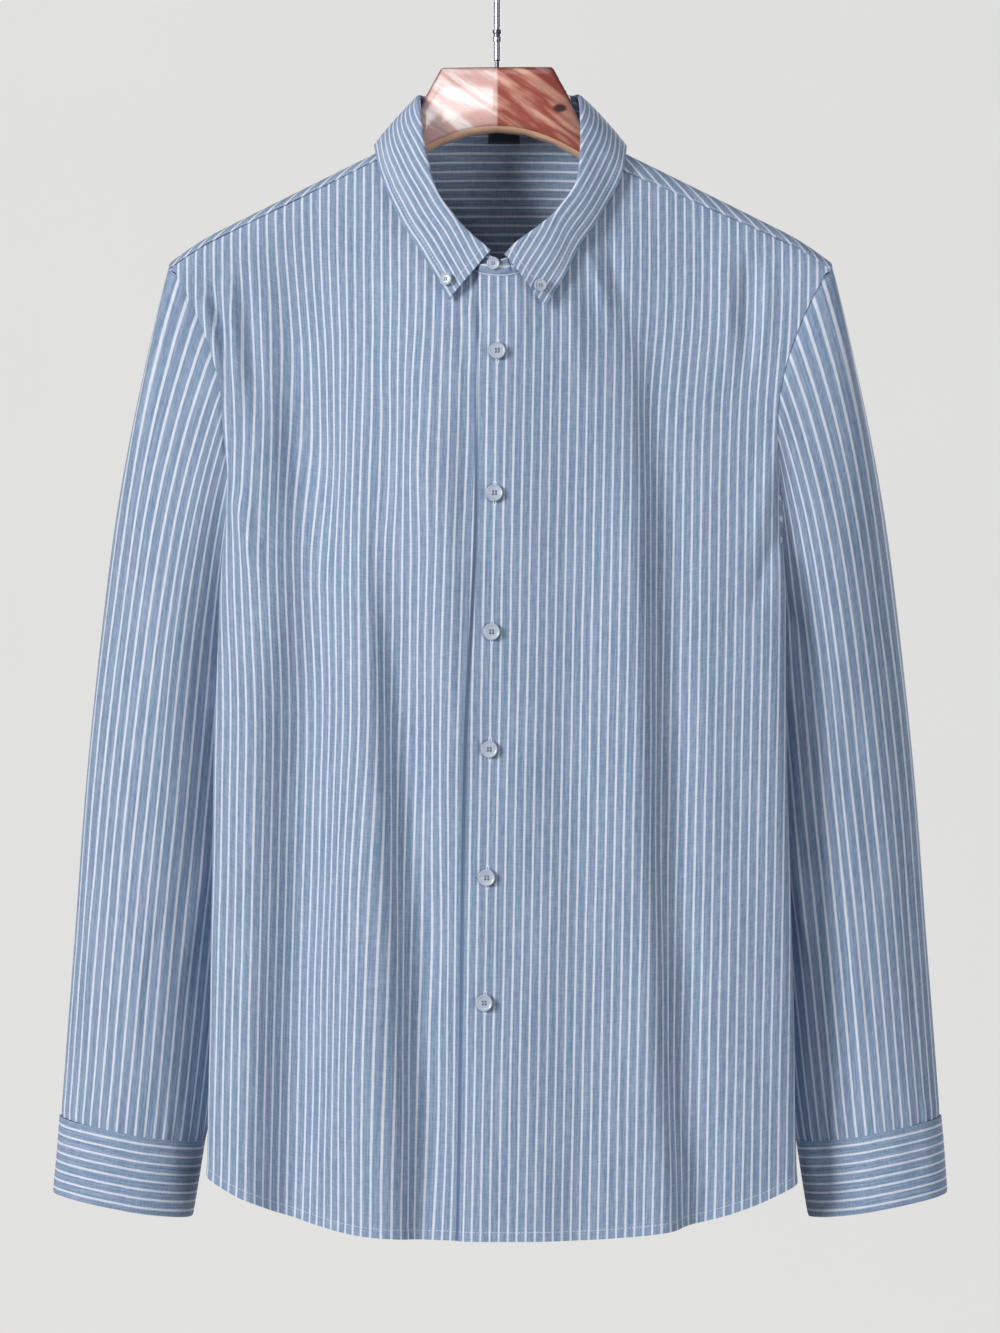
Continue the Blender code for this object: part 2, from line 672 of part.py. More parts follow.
def panel_edge(body, face, side, count, top_z):
    """A panel's outer edge up the side seam and the armhole, as cloth distances and levels."""
    cross_x, cross_z = CROSS_FRONT if face == "front" else CROSS_BACK
    tip_z = float(ridge_z(TIP_X))
    turn = np.linspace(math.pi / 2, 0, 60)
    start = float(body.arc_at_x(face, side, cross_x, cross_z))
    end = float(body.seam_arc(face, side, UNDERARM_Z))
    low_z = cross_z + (UNDERARM_Z - cross_z) * np.sin(turn)
    low_a = start + (end - start) * (1 - np.cos(turn))
    high_z = np.linspace(cross_z, tip_z, 80)[1:]
    part = (high_z - cross_z) / (tip_z - cross_z)
    high_a = body.arc_at_x(face, side, cross_x + (TIP_X - cross_x) * part**ARMHOLE_CURVE, high_z)
    arcs, levels = np.append(low_a, high_a), np.append(low_z, high_z)
    under = levels < top_z
    arcs_up = np.append(arcs[under], np.interp(top_z, levels, arcs))
    levels_up = np.append(levels[under], top_z)
    length = np.append(0, np.cumsum(np.hypot(np.diff(arcs_up), np.diff(levels_up))))
    even = np.linspace(0, length[-1], count + 1)
    seam_z = np.linspace(side_hem_z(body, side), UNDERARM_Z, SIDE_STEPS + 1)[:-1]
    arm_a, arm_z = np.interp(even, length, arcs_up), np.interp(even, length, levels_up)
    return np.append(body.seam_arc(face, side, seam_z), arm_a), np.append(seam_z, arm_z)


def front_sheet(body, side):
    """One front: rows from the hem up, columns from the closure out."""
    seam_x, seam_roll = front_yoke_seam(side)
    degrees = front_neck_degrees(side)
    top_x = np.append(NECK_X * np.sin(np.radians(degrees)), seam_x[1:])
    top_z = np.append(neck_drop(degrees), ridge_z(seam_x[1:]) - seam_roll[1:] ** 2)
    top_a = np.sign(top_x) * body.arc_at_x("front", side, top_x, top_z)
    edge_a, edge_z = panel_edge(body, "front", side, FRONT_ARMHOLE_STEPS, top_z[-1])
    edge_a[-1] = top_a[-1]
    share = (top_a - top_a[0]) / (top_a[-1] - top_a[0])
    low_share = (top_a[0] + side * button_line(HEM_Z) + share * (edge_a[0] - top_a[0])) / edge_a[0]
    low = hem_z(body, side, low_share + (1 - low_share[-1]) * share)
    corner_a, corner = top_a[NECK_STEPS + 1], share[NECK_STEPS + 1]
    points = []
    for outer, rise in zip(edge_a, (edge_z - edge_z[0]) / (edge_z[-1] - edge_z[0])):
        z = low + rise * (top_z - low)
        inner = top_a[0] + side * button_line(z[0])
        even = inner + share * (outer - inner)
        shoulder = corner_a + (share - corner) / (1 - corner) * (outer - corner_a)
        upright = np.where(share <= corner, top_a, shoulder)
        arc = even + (upright - even) * ramp((rise - 0.5) / 0.3)
        row = body.at_arc("front", side, arc, z)
        row[:, 1] += sink(side, arc, z)
        points.append(row)
    points[-1][: NECK_STEPS + 2] = neck_points(body, side, degrees)
    return Sheet(points, outwards=side)


def back_sheet(body):
    """The back: rows from the hem up, columns from one side seam to the other."""
    seam_x, seam_z = back_yoke_seam()
    halves = []
    for side in (-1, 1):
        top_a = body.arc_at_x("back", side, seam_x, seam_z)
        edge_a, edge_z = panel_edge(body, "back", side, BACK_ARMHOLE_STEPS, seam_z[-1])
        edge_a[-1] = top_a[-1]
        share = top_a / top_a[-1]
        low = hem_z(body, side, share)
        rows = []
        for outer, rise in zip(edge_a, (edge_z - edge_z[0]) / (edge_z[-1] - edge_z[0])):
            rows.append(body.at_arc("back", side, share * outer, low + rise * (seam_z - low)))
        halves.append(np.array(rows))
    middle = (halves[0][:, :1] + halves[1][:, :1]) / 2
    return Sheet(np.concatenate([halves[0][:, :0:-1], middle, halves[1][:, 1:]], axis=1), outwards=-1)


def yoke_sheet(body):
    """The yoke: rows from the neck out, columns from one front seam round the back to the other."""
    halves = []
    for side in (-1, 1):
        degrees = back_neck_degrees(side)
        neck_x = NECK_X * np.sin(np.radians(degrees))
        below = np.maximum(ridge_z(neck_x) - neck_drop(degrees), 0)
        neck_roll = np.sqrt(below) * np.where(degrees > 90, -1, 1)
        arm_x, arm_roll = yoke_armhole(side)
        seam_x, seam_z = back_yoke_seam()
        outer_x = np.append(arm_x, seam_x[-2::-1])
        outer_roll = np.append(arm_roll, np.sqrt(ridge_z(seam_x) - seam_z)[-2::-1])
        steps = np.array(SHOULDER_STEPS)[:, None]
        x = neck_x + steps * (outer_x - neck_x)
        roll = neck_roll + steps * (outer_roll - neck_roll)
        halves.append(body.over_ridge(side * x, roll))
    return Sheet(np.concatenate([halves[0], halves[1][:, -2::-1]], axis=1))


# --- Sleeves and cuffs --------------------------------------------------------------------------------------

ROUND = FRONT_ARMHOLE_STEPS + YOKE_ARMHOLE_STEPS + BACK_ARMHOLE_STEPS


def sleeve_section(side, step, z):
    """Points of the hanging sleeve's section at level z. Steps run from its inner side over its front."""
    rows = table(SLEEVE_ROWS, SLEEVE_COLUMNS)
    step, z = np.broadcast_arrays(np.asarray(step, float), np.asarray(z, float))
    at = {name: smooth(z, rows["z"], rows[name]) for name in SLEEVE_COLUMNS[1:]}
    turn = 2 * math.pi * step / ROUND
    power = 2 / at["square"]
    cos, sin = np.cos(turn), np.sin(turn)
    half = (at["outer"] - at["inner"]) / 2
    x = at["outer"] - half - half * np.sign(cos) * np.abs(cos) ** power
    y = at["middle_y"] - at["half_depth"] * np.sign(sin) * np.abs(sin) ** power
    return np.stack([side * x, y, z], -1)


def cuff_seam_z(step):
    """The cuff seam's level round the sleeve, straight between whole steps, as both pieces' edges are."""
    whole = np.arange(2 * ROUND + 2)
    turn = 2 * np.pi * whole / ROUND
    levels = CUFF_SEAM_Z - CUFF_TILT * np.cos(turn) - CUFF_DIP * np.sin(turn)
    return np.interp(step, whole, levels)


def clear_of_body(body, side, row):
    """A row of a sleeve's points, each moved out to where it clears the body's side at its own level."""
    row = row.copy()
    for point in row:
        needed = SLEEVE_CLEAR * float(ramp((CROSS_FRONT[1] - point[2]) / 0.06))
        if not needed:
            continue
        line = []
        for face, way in (("front", 1), ("back", -1)):
            whole = float(body.seam_arc(face, side, point[2]))
            line.append(body.at_arc(face, side, np.linspace(0.4, 1, 80) * whole, point[2])[::way, :2])
        line = np.concatenate([line[0], line[1][1:]])
        nearest = int(np.argmin(np.hypot(*(line - point[:2]).T)))
        before, after = line[max(nearest - 1, 0)], line[min(nearest + 1, len(line) - 1)]
        along = unit(after - before)
        out = np.array((-along[1], along[0])) * -side
        distance = float((point[:2] - line[nearest]) @ out)
        if distance < needed:
            point[:2] += out * (needed - distance)
    return row


def sleeve_sheet(body, side, ring):
    """A sleeve: rows from the armhole down, columns round it."""
    steps = np.arange(ROUND)
    start = sleeve_section(side, steps, ring[:, 2])
    points = []
    for part in np.linspace(0, 1, SLEEVE_STEPS + 1) ** SLEEVE_SPREAD:
        z = ring[:, 2] + part * (cuff_seam_z(steps) - ring[:, 2])
        left = np.maximum(1 - part / CAP_REACH, 0) ** 2
        row = sleeve_section(side, steps, z) + (ring - start) * left
        row[:, 2] = z
        points.append(row if part == 0 else clear_of_body(body, side, row))
    return Sheet(points, outwards=-side, closed=True)


def armhole_ring(side, front, yoke, back):
    """The sheets' places round an armhole, from the underarm over the front, by step."""
    places = [[] for _ in range(ROUND)]
    for i in range(FRONT_ARMHOLE_STEPS + 1):
        places[i].append((front, (SIDE_STEPS + i, -1)))
    for i in range(YOKE_ARMHOLE_STEPS + 1):
        col = i if side < 0 else -1 - i
        places[FRONT_ARMHOLE_STEPS + i].append((yoke, (-1, col)))
    back_col = 0 if side < 0 else -1
    for i in range(BACK_ARMHOLE_STEPS + 1):
        step = (FRONT_ARMHOLE_STEPS + YOKE_ARMHOLE_STEPS + i) % ROUND
        places[step].append((back, (-1 - i, back_col)))
    return places


def join_sleeve(sleeve, places):
    """Leans a sleeve's edge and the armhole's to each other, or laps them at the sharp turn below."""
    for step, meeting in enumerate(places):
        body_side = unit(sum(sheet.normals[at] for sheet, at in meeting))
        own = sleeve.normals[0, step].copy()
        joined = ramp((float(body_side @ own) + 0.1) / 0.6)
        middle = unit(body_side + own)
        for sheet, at in meeting:
            sheet.normals[at] = unit(body_side * (1 - joined) + middle * joined)
        sleeve.normals[0, step] = unit(own * (1 - joined) + middle * joined)
        sleeve.points[0, step] += body_side * LIFT * (1 - joined)


def cuff_sheet(side):
    """A cuff: a band whose ends lap over at the back, the outer end on top."""
    inner = np.arange(math.ceil(CUFF_START), math.ceil(CUFF_START) + ROUND + 1)
    end = CUFF_START + ROUND + CUFF_LAP
    steps = np.concatenate([[CUFF_START], inner[inner > CUFF_START + 0.2], [end]])
    steps = steps[steps <= end]
    top = cuff_seam_z(steps % (2 * ROUND)) if steps.max() < 2 * ROUND + 1 else cuff_seam_z(steps)
    turn = 2 * np.pi * steps / ROUND
    climb = ramp((steps - CUFF_START - CUFF_LAP - 1) / (ROUND - CUFF_LAP - 3))
    away = (climb - 0.5) * (LAP + CUFF_PLAY)
    points = []
    for part in (0, 0.5, 1):
        z = top - CUFF_HEIGHT * part
        row = sleeve_section(side, steps, z)
        out = np.stack([-side * np.cos(turn), -np.sin(turn), 0 * turn], -1)
        points.append(row + out * away[:, None])
    return Sheet(points, outwards=-side)


def placket_sheet(sleeve):
    """The strip over a sleeve's opening, made from the sleeve's own points, moved out, with a pointed top."""
    rows = []
    low = SLEEVE_STEPS - 0.02
    length = np.linalg.norm(sleeve.points[-1, 17] - sleeve.points[-2, 17])
    for up in (0, 0.25, 0.5, 0.75, 1.0):
        row = []
        for across in (0, 0.5, 1):
            rise = PLACKET_LENGTH * up + (PLACKET_POINT * (1 - abs(2 * across - 1)) if up == 1 else 0)
            step = PLACKET_FROM + across * (PLACKET_TO - PLACKET_FROM)
            point, lean = sleeve.between(low - rise / length, step)
            row.append(point + lean * LIFT)
        rows.append(row)
    return Sheet(rows)


# --- Collar -------------------------------------------------------------------------------------------------


def collar_sheets(body):
    """The stand and the leaf, both with columns from one end of the collar round the back to the other."""
    bottoms, folds, edges = [], [], []
    for side in (-1, 1):
        degrees = np.append(front_neck_degrees(side), back_neck_degrees(side)[1:])
        line = table(COLLAR_FOLD[side], COLLAR_COLUMNS)
        fold = np.stack([smooth(degrees, line["degrees"], line[name]) for name in "xyz"], -1)
        fold[:, 1] += np.where(degrees > 90, sink(side, fold[:, 0], fold[:, 2]), 0)
        fold[:, 0] *= side
        leaf = table(LEAF_EDGE[side], LEAF_COLUMNS)
        roll = leaf["face"] * np.sqrt(np.maximum(ridge_z(leaf["x"]) - leaf["z"], 0))
        x = side * smooth(degrees, leaf["degrees"], leaf["x"])
        roll = smooth(degrees, leaf["degrees"], roll)
        edge = body.over_ridge(x, roll) + body.lean_over_ridge(x, roll) * LEAF_LIFT
        bottoms.append(neck_points(body, side, degrees))
        folds.append(fold)
        edges.append(edge)
    bottom, fold, edge = (np.concatenate([pair[0], pair[1][-2::-1]]) for pair in (bottoms, folds, edges))
    along = unit(np.gradient(fold, axis=0))
    up = fold - bottom
    up = unit(up - along * np.sum(up * along, -1, keepdims=True))
    out = unit(np.cross(up, along))
    top = fold - up * ROLL_HEIGHT
    stand = Sheet([bottom, (bottom + top) / 2 + out * 0.0008, top], outwards=-1)
    rows = [top + out * o + up * u for o, u in ROLL]
    for part in np.linspace(0, 1, LEAF_STEPS + 1)[1:]:
        bulge = LEAF_BULGE * 4 * part * (1 - part)
        rows.append(rows[len(ROLL) - 1] * (1 - part) + edge * part + out * bulge)
    leaf = Sheet(np.array(rows)[:, 2:-2])
    leaf.normals[0] = -stand.normals[-1, 2:-2]
    return stand, leaf


def label_sheet(stand):
    """The label's patch, on the inner side of the stand at the back."""
    middle = stand.points.shape[1] // 2
    rows = []
    for z in np.linspace(*LABEL_Z, 3):
        row = []
        for x in np.linspace(*LABEL_X, 5):
            point, lean = stand.nearest(x, z, (0, 1.6), (middle - 4, middle + 4))
            row.append(point - lean * (WALL / 2 + SEAM + LABEL_THICK / 2 + 0.0001))
        rows.append(row)
    return Sheet(rows)


# --- Buttons, hanger and hook -------------------------------------------------------------------------------


def rings_to_shell(shell, rings):
    """Joins rings of points, each to the next, and returns the rings' vertices."""
    made = [[shell.verts.new(p) for p in ring] for ring in rings]
    for low, high in zip(made, made[1:]):
        for i in range(len(low)):
            n = (i + 1) % len(low)
            shell.faces.new((low[i], low[n], high[n], high[i]))
    return made


def circle(radius, z, sides, x=0.0, y=0.0, turn=0.0):
    angles = [turn + 2 * math.pi * i / sides for i in range(sides)]
    return [Vector((x + radius * math.cos(a), y + radius * math.sin(a), z)) for a in angles]


def cap_with_holes(shell, border, holes):
    loops = [border] + holes
    verts = [v for loop in loops for v in loop]
    for corners in tessellate_polygon([[v.co for v in loop] for loop in loops]):
        shell.faces.new([verts[i] for i in corners])


def button(name, point, lean, radius, surface):
    """A four-hole button with a raised rim, standing SEAM off the cloth that it is sewn to."""
    shell = bmesh.new()
    rings = [circle(radius * out, BUTTON_THICK * up, BUTTON_SIDES) for out, up in BUTTON_RIM]
    made = rings_to_shell(shell, rings)
    top = BUTTON_THICK * BUTTON_RIM[-1][1]
    lows, highs = [], []
    for quarter in range(4):
        a = math.pi / 4 + quarter * math.pi / 2
        x, y = HOLE_OUT * radius * math.cos(a), HOLE_OUT * radius * math.sin(a)
        rings = [circle(HOLE_RADIUS * radius, z, HOLE_SIDES, x, y) for z in (0, top)]
        low, high = rings_to_shell(shell, rings)
        lows.append(low)
        highs.append(high)
    cap_with_holes(shell, made[0], lows)
    cap_with_holes(shell, made[-1], highs)
    facing = Vector(lean).to_track_quat("Z", "Y").to_matrix().to_4x4()
    seat = Vector(point) + Vector(lean) * (WALL / 2 + SEAM + BUTTON_PLAY)
    bmesh.ops.transform(shell, matrix=Matrix.Translation(seat) @ facing, verts=shell.verts)
    return add_object(name, shell, surface)


def close_ends(shell, made):
    shell.faces.new(made[0][::-1])
    shell.faces.new(made[-1])


def wood_sections():
    """The hanger's sections from its middle out: x, top, bottom and half depth."""
    rows = list(WOOD_ROWS)
    end = ARM_STATIONS[-1]
    for x in ARM_STATIONS:
        top = float(ridge_z(x)) - ARM_REST
        near_end = max(0.0, 1 - (end - x) / ARM_ROUND)
        size = math.sqrt(max(1 - near_end**2, 0.12))
        middle = top - ARM_HEIGHT / 2
        half = ARM_HEIGHT / 2 * size
        rows.append((x, middle + half, middle - half, ARM_HALF_DEPTH * size))
    return rows


def hanger_arms(surface):
    """The wooden arms and neck, one turned-down bow under the shoulders."""
    rows = wood_sections()
    rings = []
    for x, top, bottom, depth in [(-r[0], *r[1:]) for r in rows[:0:-1]] + rows:
        ring = []
        for i in range(WOOD_SIDES):
            a = 2 * math.pi * i / WOOD_SIDES
            height = (top + bottom) / 2 + (top - bottom) / 2 * math.sin(a)
            ring.append((x, depth * math.cos(a), height + HANGER_TILT * x))
        rings.append(ring)
    shell = bmesh.new()
    close_ends(shell, rings_to_shell(shell, rings))
    return add_object("hanger_arms", shell, surface, shift=0.0)


def hanger_ferrule(surface):
    """The turned collars between the hook and the wood."""
    shell = bmesh.new()
    close_ends(shell, rings_to_shell(shell, [circle(r, z, FERRULE_SIDES) for r, z in FERRULE]))
    return add_object("hanger_ferrule", shell, surface, shift=0.0)


def hook_line():
    """The hook's centre line in the plane of the arms, from its open tip to its foot: x and z."""
    centre_z = -HOOK_INNER
    radius = HOOK_INNER + WIRE
    line = []
    for degrees in np.linspace(HOOK_TIP, HOOK_BACK, HOOK_STEPS + 1):
        a = math.radians(degrees)
        line.append((radius * math.cos(a), centre_z + radius * math.sin(a)))
    last = math.radians(HOOK_BACK)
    start = np.array(line[-1])
    along = np.array((math.sin(last), -math.cos(last)))
    end = np.array((0.0, HOOK_NECK_Z))
    handles = (start, start + along * HOOK_HANDLE, end + np.array((0.0, HOOK_HANDLE)), end)
    for t in np.linspace(0, 1, 7)[1:]:
        share = ((1 - t) ** 3, 3 * t * (1 - t) ** 2, 3 * t * t * (1 - t), t**3)
        line.append(tuple(sum(s * h for s, h in zip(share, handles))))
    line.append((0.0, HOOK_FOOT_Z))
    return np.array(line)


def hanger_hook(surface):
    """The wire hook, whose inner top is the origin."""
    line = hook_line()
    along = unit(np.gradient(line, axis=0))
    rings = []
    for i, (centre, way) in enumerate(zip(line, along)):
        ends = [(1.0, 0.0)]
        if i == 0:
            ends = [(0.55, -0.0012), (0.9, -0.0006), (1.0, 0.0)]
        for size, shift in ends:
            middle = centre + way * shift
            ring = []
            for k in range(WIRE_SIDES):
                a = 2 * math.pi * k / WIRE_SIDES
                across = WIRE * size * math.cos(a)
                forward = WIRE * size * math.sin(a)
                ring.append((middle[0] - way[1] * across, forward, middle[1] + way[0] * across))
            rings.append(ring)
    shell = bmesh.new()
    close_ends(shell, rings_to_shell(shell, rings))
    return add_object("hanger_hook", shell, surface, shift=0.0)


# --- The whole ----------------------------------------------------------------------------------------------


def clear_scene():
    for made in list(bpy.data.objects):
        bpy.data.objects.remove(made, do_unlink=True)


def build_cloth(cloth, under_cloth):
    """Every sewn piece. It returns the sheets that buttons and the label are placed on."""
    body = Body()
    fronts = {side: front_sheet(body, side) for side in (-1, 1)}
    back = back_sheet(body)
    yoke = yoke_sheet(body)
    stand, leaf = collar_sheets(body)
    sleeves = {}
    neck = NECK_STEPS + 1
    back_top = [(back, (-1, slice(None))), (yoke, (-1, slice(YOKE_ARMHOLE_STEPS, -YOKE_ARMHOLE_STEPS)))]
    share_lean(*back_top)
    for side, front in fronts.items():
        first, last = (0, slice(None, None)) if side < 0 else (-1, slice(None, None))
        share_lean((front, (-1, slice(neck, None))), (yoke, (slice(None), first)))
        share_lean((front, (slice(0, SIDE_STEPS + 1), -1)), (back, (slice(0, SIDE_STEPS + 1), first)))
        ends = slice(0, neck + 1) if side < 0 else slice(-1, -neck - 2, -1)
        share_lean((front, (-1, slice(0, neck + 1))), (stand, (0, ends)))
    share_lean((yoke, (0, slice(None))), (stand, (0, slice(neck, -neck))))
    for side, front in fronts.items():
        places = armhole_ring(side, front, yoke, back)
        ring = np.array([meeting[0][0].points[meeting[0][1]] for meeting in places])
        sleeves[side] = sleeve_sheet(body, side, ring)
        join_sleeve(sleeves[side], places)
    cuffs = {side: cuff_sheet(side) for side in (-1, 1)}
    plackets = {side: placket_sheet(sleeves[side]) for side in (-1, 1)}
    for side, front in fronts.items():
        front.pull_in(rows=(-1,), columns=(-1,))
        sleeves[side].pull_in(rows=(0, -1))
        cuffs[side].pull_in(rows=(0,))
    back.pull_in(rows=(-1,), columns=(0, -1))
    yoke.pull_in(rows=(0, -1), columns=(0, -1))
    stand.pull_in(rows=(0,))
    names = {-1: "right", 1: "left"}
    for side, name in names.items():
        wall(f"front_{name}", fronts[side], cloth)
        wall(f"sleeve_{name}", sleeves[side], cloth)
        wall(f"cuff_{name}", cuffs[side], cloth)
        wall(f"sleeve_placket_{name}", plackets[side], cloth)
    wall("back", back, cloth)
    wall("yoke", yoke, cloth)
    wall("collar_stand", stand, cloth)
    wall("collar_leaf", leaf, cloth)
    wall("neck_label", label_sheet(stand), under_cloth, LABEL_THICK)
    return fronts, stand, leaf, cuffs


def add_buttons(fronts, stand, leaf, cuffs, surface):
    rows, columns = fronts[1].points.shape[:2]
    for number, z in enumerate(FRONT_BUTTONS_Z, 1):
        point, lean = fronts[1].nearest(float(button_line(z)), z, (0, rows - 1), (0, 4))
        button(f"front_button_{number}", point, lean, FRONT_BUTTON, surface)
    x, z = STAND_BUTTON
    point, lean = stand.nearest(x, z, (0, 2), (stand.points.shape[1] - 4, stand.points.shape[1] - 1))
    button("stand_button", point, lean, COLLAR_BUTTON, surface)
    last_row, last_column = leaf.points.shape[0] - 1, leaf.points.shape[1] - 1
    for side, name in ((-1, "right"), (1, "left")):
        ends = (0, 3) if side < 0 else (last_column - 3, last_column)
        point, lean = leaf.nearest(*COLLAR_BUTTONS[side], (last_row - 2, last_row), ends)
        button(f"collar_button_{name}", point + lean * 0.0003, lean, COLLAR_BUTTON, surface)
        cuff = cuffs[side]
        point, lean = cuff.between(1.0, cuff.points.shape[1] - 2.0)
        button(f"cuff_button_{name}", point, lean, CUFF_BUTTON, surface)


def main():
    clear_scene()
    cloth = material("cloth_striped", (0.35, 0.50, 0.68), 0.85)
    label = material("label_cloth", (0.05, 0.07, 0.13), 0.80)
    button_surface = material("button_plastic", (0.80, 0.80, 0.78), 0.35)
    wood = material("wood_red", (0.45, 0.17, 0.12), 0.35)
    metal = material("hook_chrome", (0.75, 0.74, 0.76), 0.18, 1.0)
    add_buttons(*build_cloth(cloth, label), button_surface)
    hanger_arms(wood)
    hanger_ferrule(metal)
    hanger_hook(metal)


main()
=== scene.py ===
"""The looks of a long-sleeved button-up shirt on a wooden hanger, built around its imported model.

Metres, +Z up. The shirt's front faces -Y and the origin is where the hook rests on a rail. The cloth follows
one body surface, two sleeves and a collar, as in the model, in finer steps, thinner, and with smaller folds.
Each sewn piece is a thin shell with the cloth's own measure as its UV map: u runs across the stripes and v
along them. "left" and "right" are the wearer's, so left is at +X.
"""

import logging
import math
from collections.abc import Callable
from dataclasses import dataclass, field
from enum import Enum

import bmesh
import bpy
import numpy as np
from mathutils import Matrix, Vector

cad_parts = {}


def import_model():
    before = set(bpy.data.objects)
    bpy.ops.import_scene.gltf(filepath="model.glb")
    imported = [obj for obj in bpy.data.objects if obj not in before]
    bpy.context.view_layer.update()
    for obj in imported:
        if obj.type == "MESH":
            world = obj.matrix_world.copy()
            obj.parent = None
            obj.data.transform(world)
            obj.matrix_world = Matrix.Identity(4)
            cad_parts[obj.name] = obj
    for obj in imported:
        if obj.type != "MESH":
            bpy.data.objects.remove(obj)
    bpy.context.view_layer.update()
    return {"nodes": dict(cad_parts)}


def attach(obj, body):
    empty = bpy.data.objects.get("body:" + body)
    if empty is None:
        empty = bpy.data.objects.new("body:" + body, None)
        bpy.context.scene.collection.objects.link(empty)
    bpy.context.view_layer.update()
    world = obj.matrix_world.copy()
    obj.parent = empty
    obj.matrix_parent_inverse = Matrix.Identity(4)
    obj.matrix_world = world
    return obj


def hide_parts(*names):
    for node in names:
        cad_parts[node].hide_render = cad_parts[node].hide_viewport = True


Numbers = float | np.ndarray

BODY = "root"
CLOTH_SHIFT = 0.0025  # the shirt has slid this far along the hanger
CLOTH = 0.0007  # one layer's thickness
LINED = 0.0012  # the thickness of a cuff, a placket and the collar, and how far one lies off the cloth below
PITCH = 0.00635  # from one white stripe to the next
HEM_STITCH = 0.0065  # from the hem to its stitching
TAKE_UP = 0.35  # how far a crease draws the stripes aside, beside its height
WAVE_GROWTH = 0.12  # how far down a long wave takes to grow
PRESSED = (-0.0004, 0.003)  # how a seam is pressed in, and how far from it
ROLLED = (0.0006, 0.006)  # how a hem is raised, and how far from its edge
SHARP = 55  # a turn of the cloth of more degrees than this is an edge

# The body, one row for each level. width is half of it, front and back are depths from its middle, and the
# sides lean in towards the back from a widest place at y = edge_y.
BODY_COLUMNS = ("z", "width", "front", "back", "edge_y", "side_slant", "centre_x")
BODY_ROWS = (
    (-0.11, 0.262, 0.083, 0.08, 0.0, 0.0, 0.0),
    (-0.235, 0.256, 0.083, 0.082, -0.004, 1.0, 0.0),
    (-0.29, 0.226, 0.084, 0.083, -0.026, 10.0, 0.0012),
    (-0.345, 0.199, 0.085, 0.084, -0.046, 20.0, 0.0022),
    (-0.475, 0.199, 0.086, 0.085, -0.048, 22.0, 0.0012),
    (-0.56, 0.2004, 0.085, 0.085, -0.047, 22.0, 0.0),
    (-0.686, 0.2032, 0.083, 0.084, -0.046, 22.0, 0.0004),
    (-0.8, 0.2055, 0.08, 0.082, -0.045, 22.0, 0.0008),
    (-0.94, 0.208, 0.078, 0.08, -0.044, 22.0, 0.001),
)

# Where the long folds run: levels and the places across at them
PATHS = {
    "right_pleat": (
        (-0.34, -0.1), (-0.42, -0.0935), (-0.473, -0.087), (-0.615, -0.0775), (-0.757, -0.069),
        (-0.863, -0.0655), (-0.96, -0.064),
    ),
    "left_pleat": (
        (-0.215, 0.065), (-0.246, 0.0777), (-0.274, 0.0877), (-0.302, 0.0962), (-0.345, 0.0997),
        (-0.402, 0.1026), (-0.473, 0.1047), (-0.615, 0.1075), (-0.686, 0.1105), (-0.757, 0.1145),
        (-0.828, 0.1185), (-0.885, 0.1235), (-0.96, 0.128),
    ),
    "left_side": (
        (-0.3, 0.16), (-0.345, 0.152), (-0.473, 0.15), (-0.615, 0.159), (-0.757, 0.173),
        (-0.96, 0.189),
    ),
    "right_trough": (
        (-0.27, -0.13), (-0.345, -0.1325), (-0.473, -0.128), (-0.615, -0.137), (-0.757, -0.142),
        (-0.96, -0.15),
    ),
    "right_side": (
        (-0.19, -0.178), (-0.262, -0.172), (-0.345, -0.159), (-0.473, -0.15), (-0.615, -0.154),
        (-0.757, -0.157), (-0.96, -0.164),
    ),
    "right_swell": (
        (-0.2, -0.06), (-0.26, -0.057), (-0.345, -0.05), (-0.473, -0.04), (-0.615, -0.035),
        (-0.96, -0.03),
    ),
    "right_edge": ((-0.3, -0.18), (-0.5, -0.176), (-0.96, -0.18)),
    "left_soft": ((-0.3, 0.045), (-0.5, 0.048), (-0.96, 0.052)),
    "left_middle": ((-0.44, 0.133), (-0.7, 0.14), (-0.96, 0.156)),
    "back_right": ((-0.3, -0.06), (-0.63, -0.072), (-0.96, -0.086)),
    "back_left": ((-0.33, 0.045), (-0.64, 0.06), (-0.96, 0.066)),
    "back_far_right": ((-0.36, -0.128), (-0.66, -0.134), (-0.96, -0.14)),
    "back_far_left": ((-0.34, 0.118), (-0.65, 0.126), (-0.96, 0.14)),
    "back_middle": ((-0.42, 0.004), (-0.7, -0.006), (-0.96, -0.01)),
}

# Long folds, where the cloth steps back by "drop" from its proud side to the other
FOLD_COLUMNS = ("face", "path", "z_top", "drop", "steep", "reach", "proud", "growth")
FOLD_ROWS = (
    ("front", "right_side", -0.19, 0.015, 0.016, 0.036, -1, 0.14),
    ("front", "right_pleat", -0.3, 0.024, 0.0165, 0.042, -1, 0.28),
    ("front", "right_pleat", -0.38, 0.005, 0.004, 0.018, -1, 0.18),
    ("front", "left_pleat", -0.215, 0.015, 0.011, 0.04, -1, 0.13),
    ("front", "left_pleat", -0.23, 0.0055, 0.0045, 0.018, -1, 0.16),
    ("front", "left_side", -0.3, 0.0026, 0.011, 0.036, -1, 0.2),
    ("back", "back_right", -0.3, 0.012, 0.01, 0.045, 1, 0.22),
    ("back", "back_left", -0.33, 0.011, 0.009, 0.045, -1, 0.22),
    ("back", "back_far_right", -0.36, 0.007, 0.008, 0.036, -1, 0.25),
    ("back", "back_far_left", -0.34, 0.008, 0.008, 0.036, 1, 0.2),
)

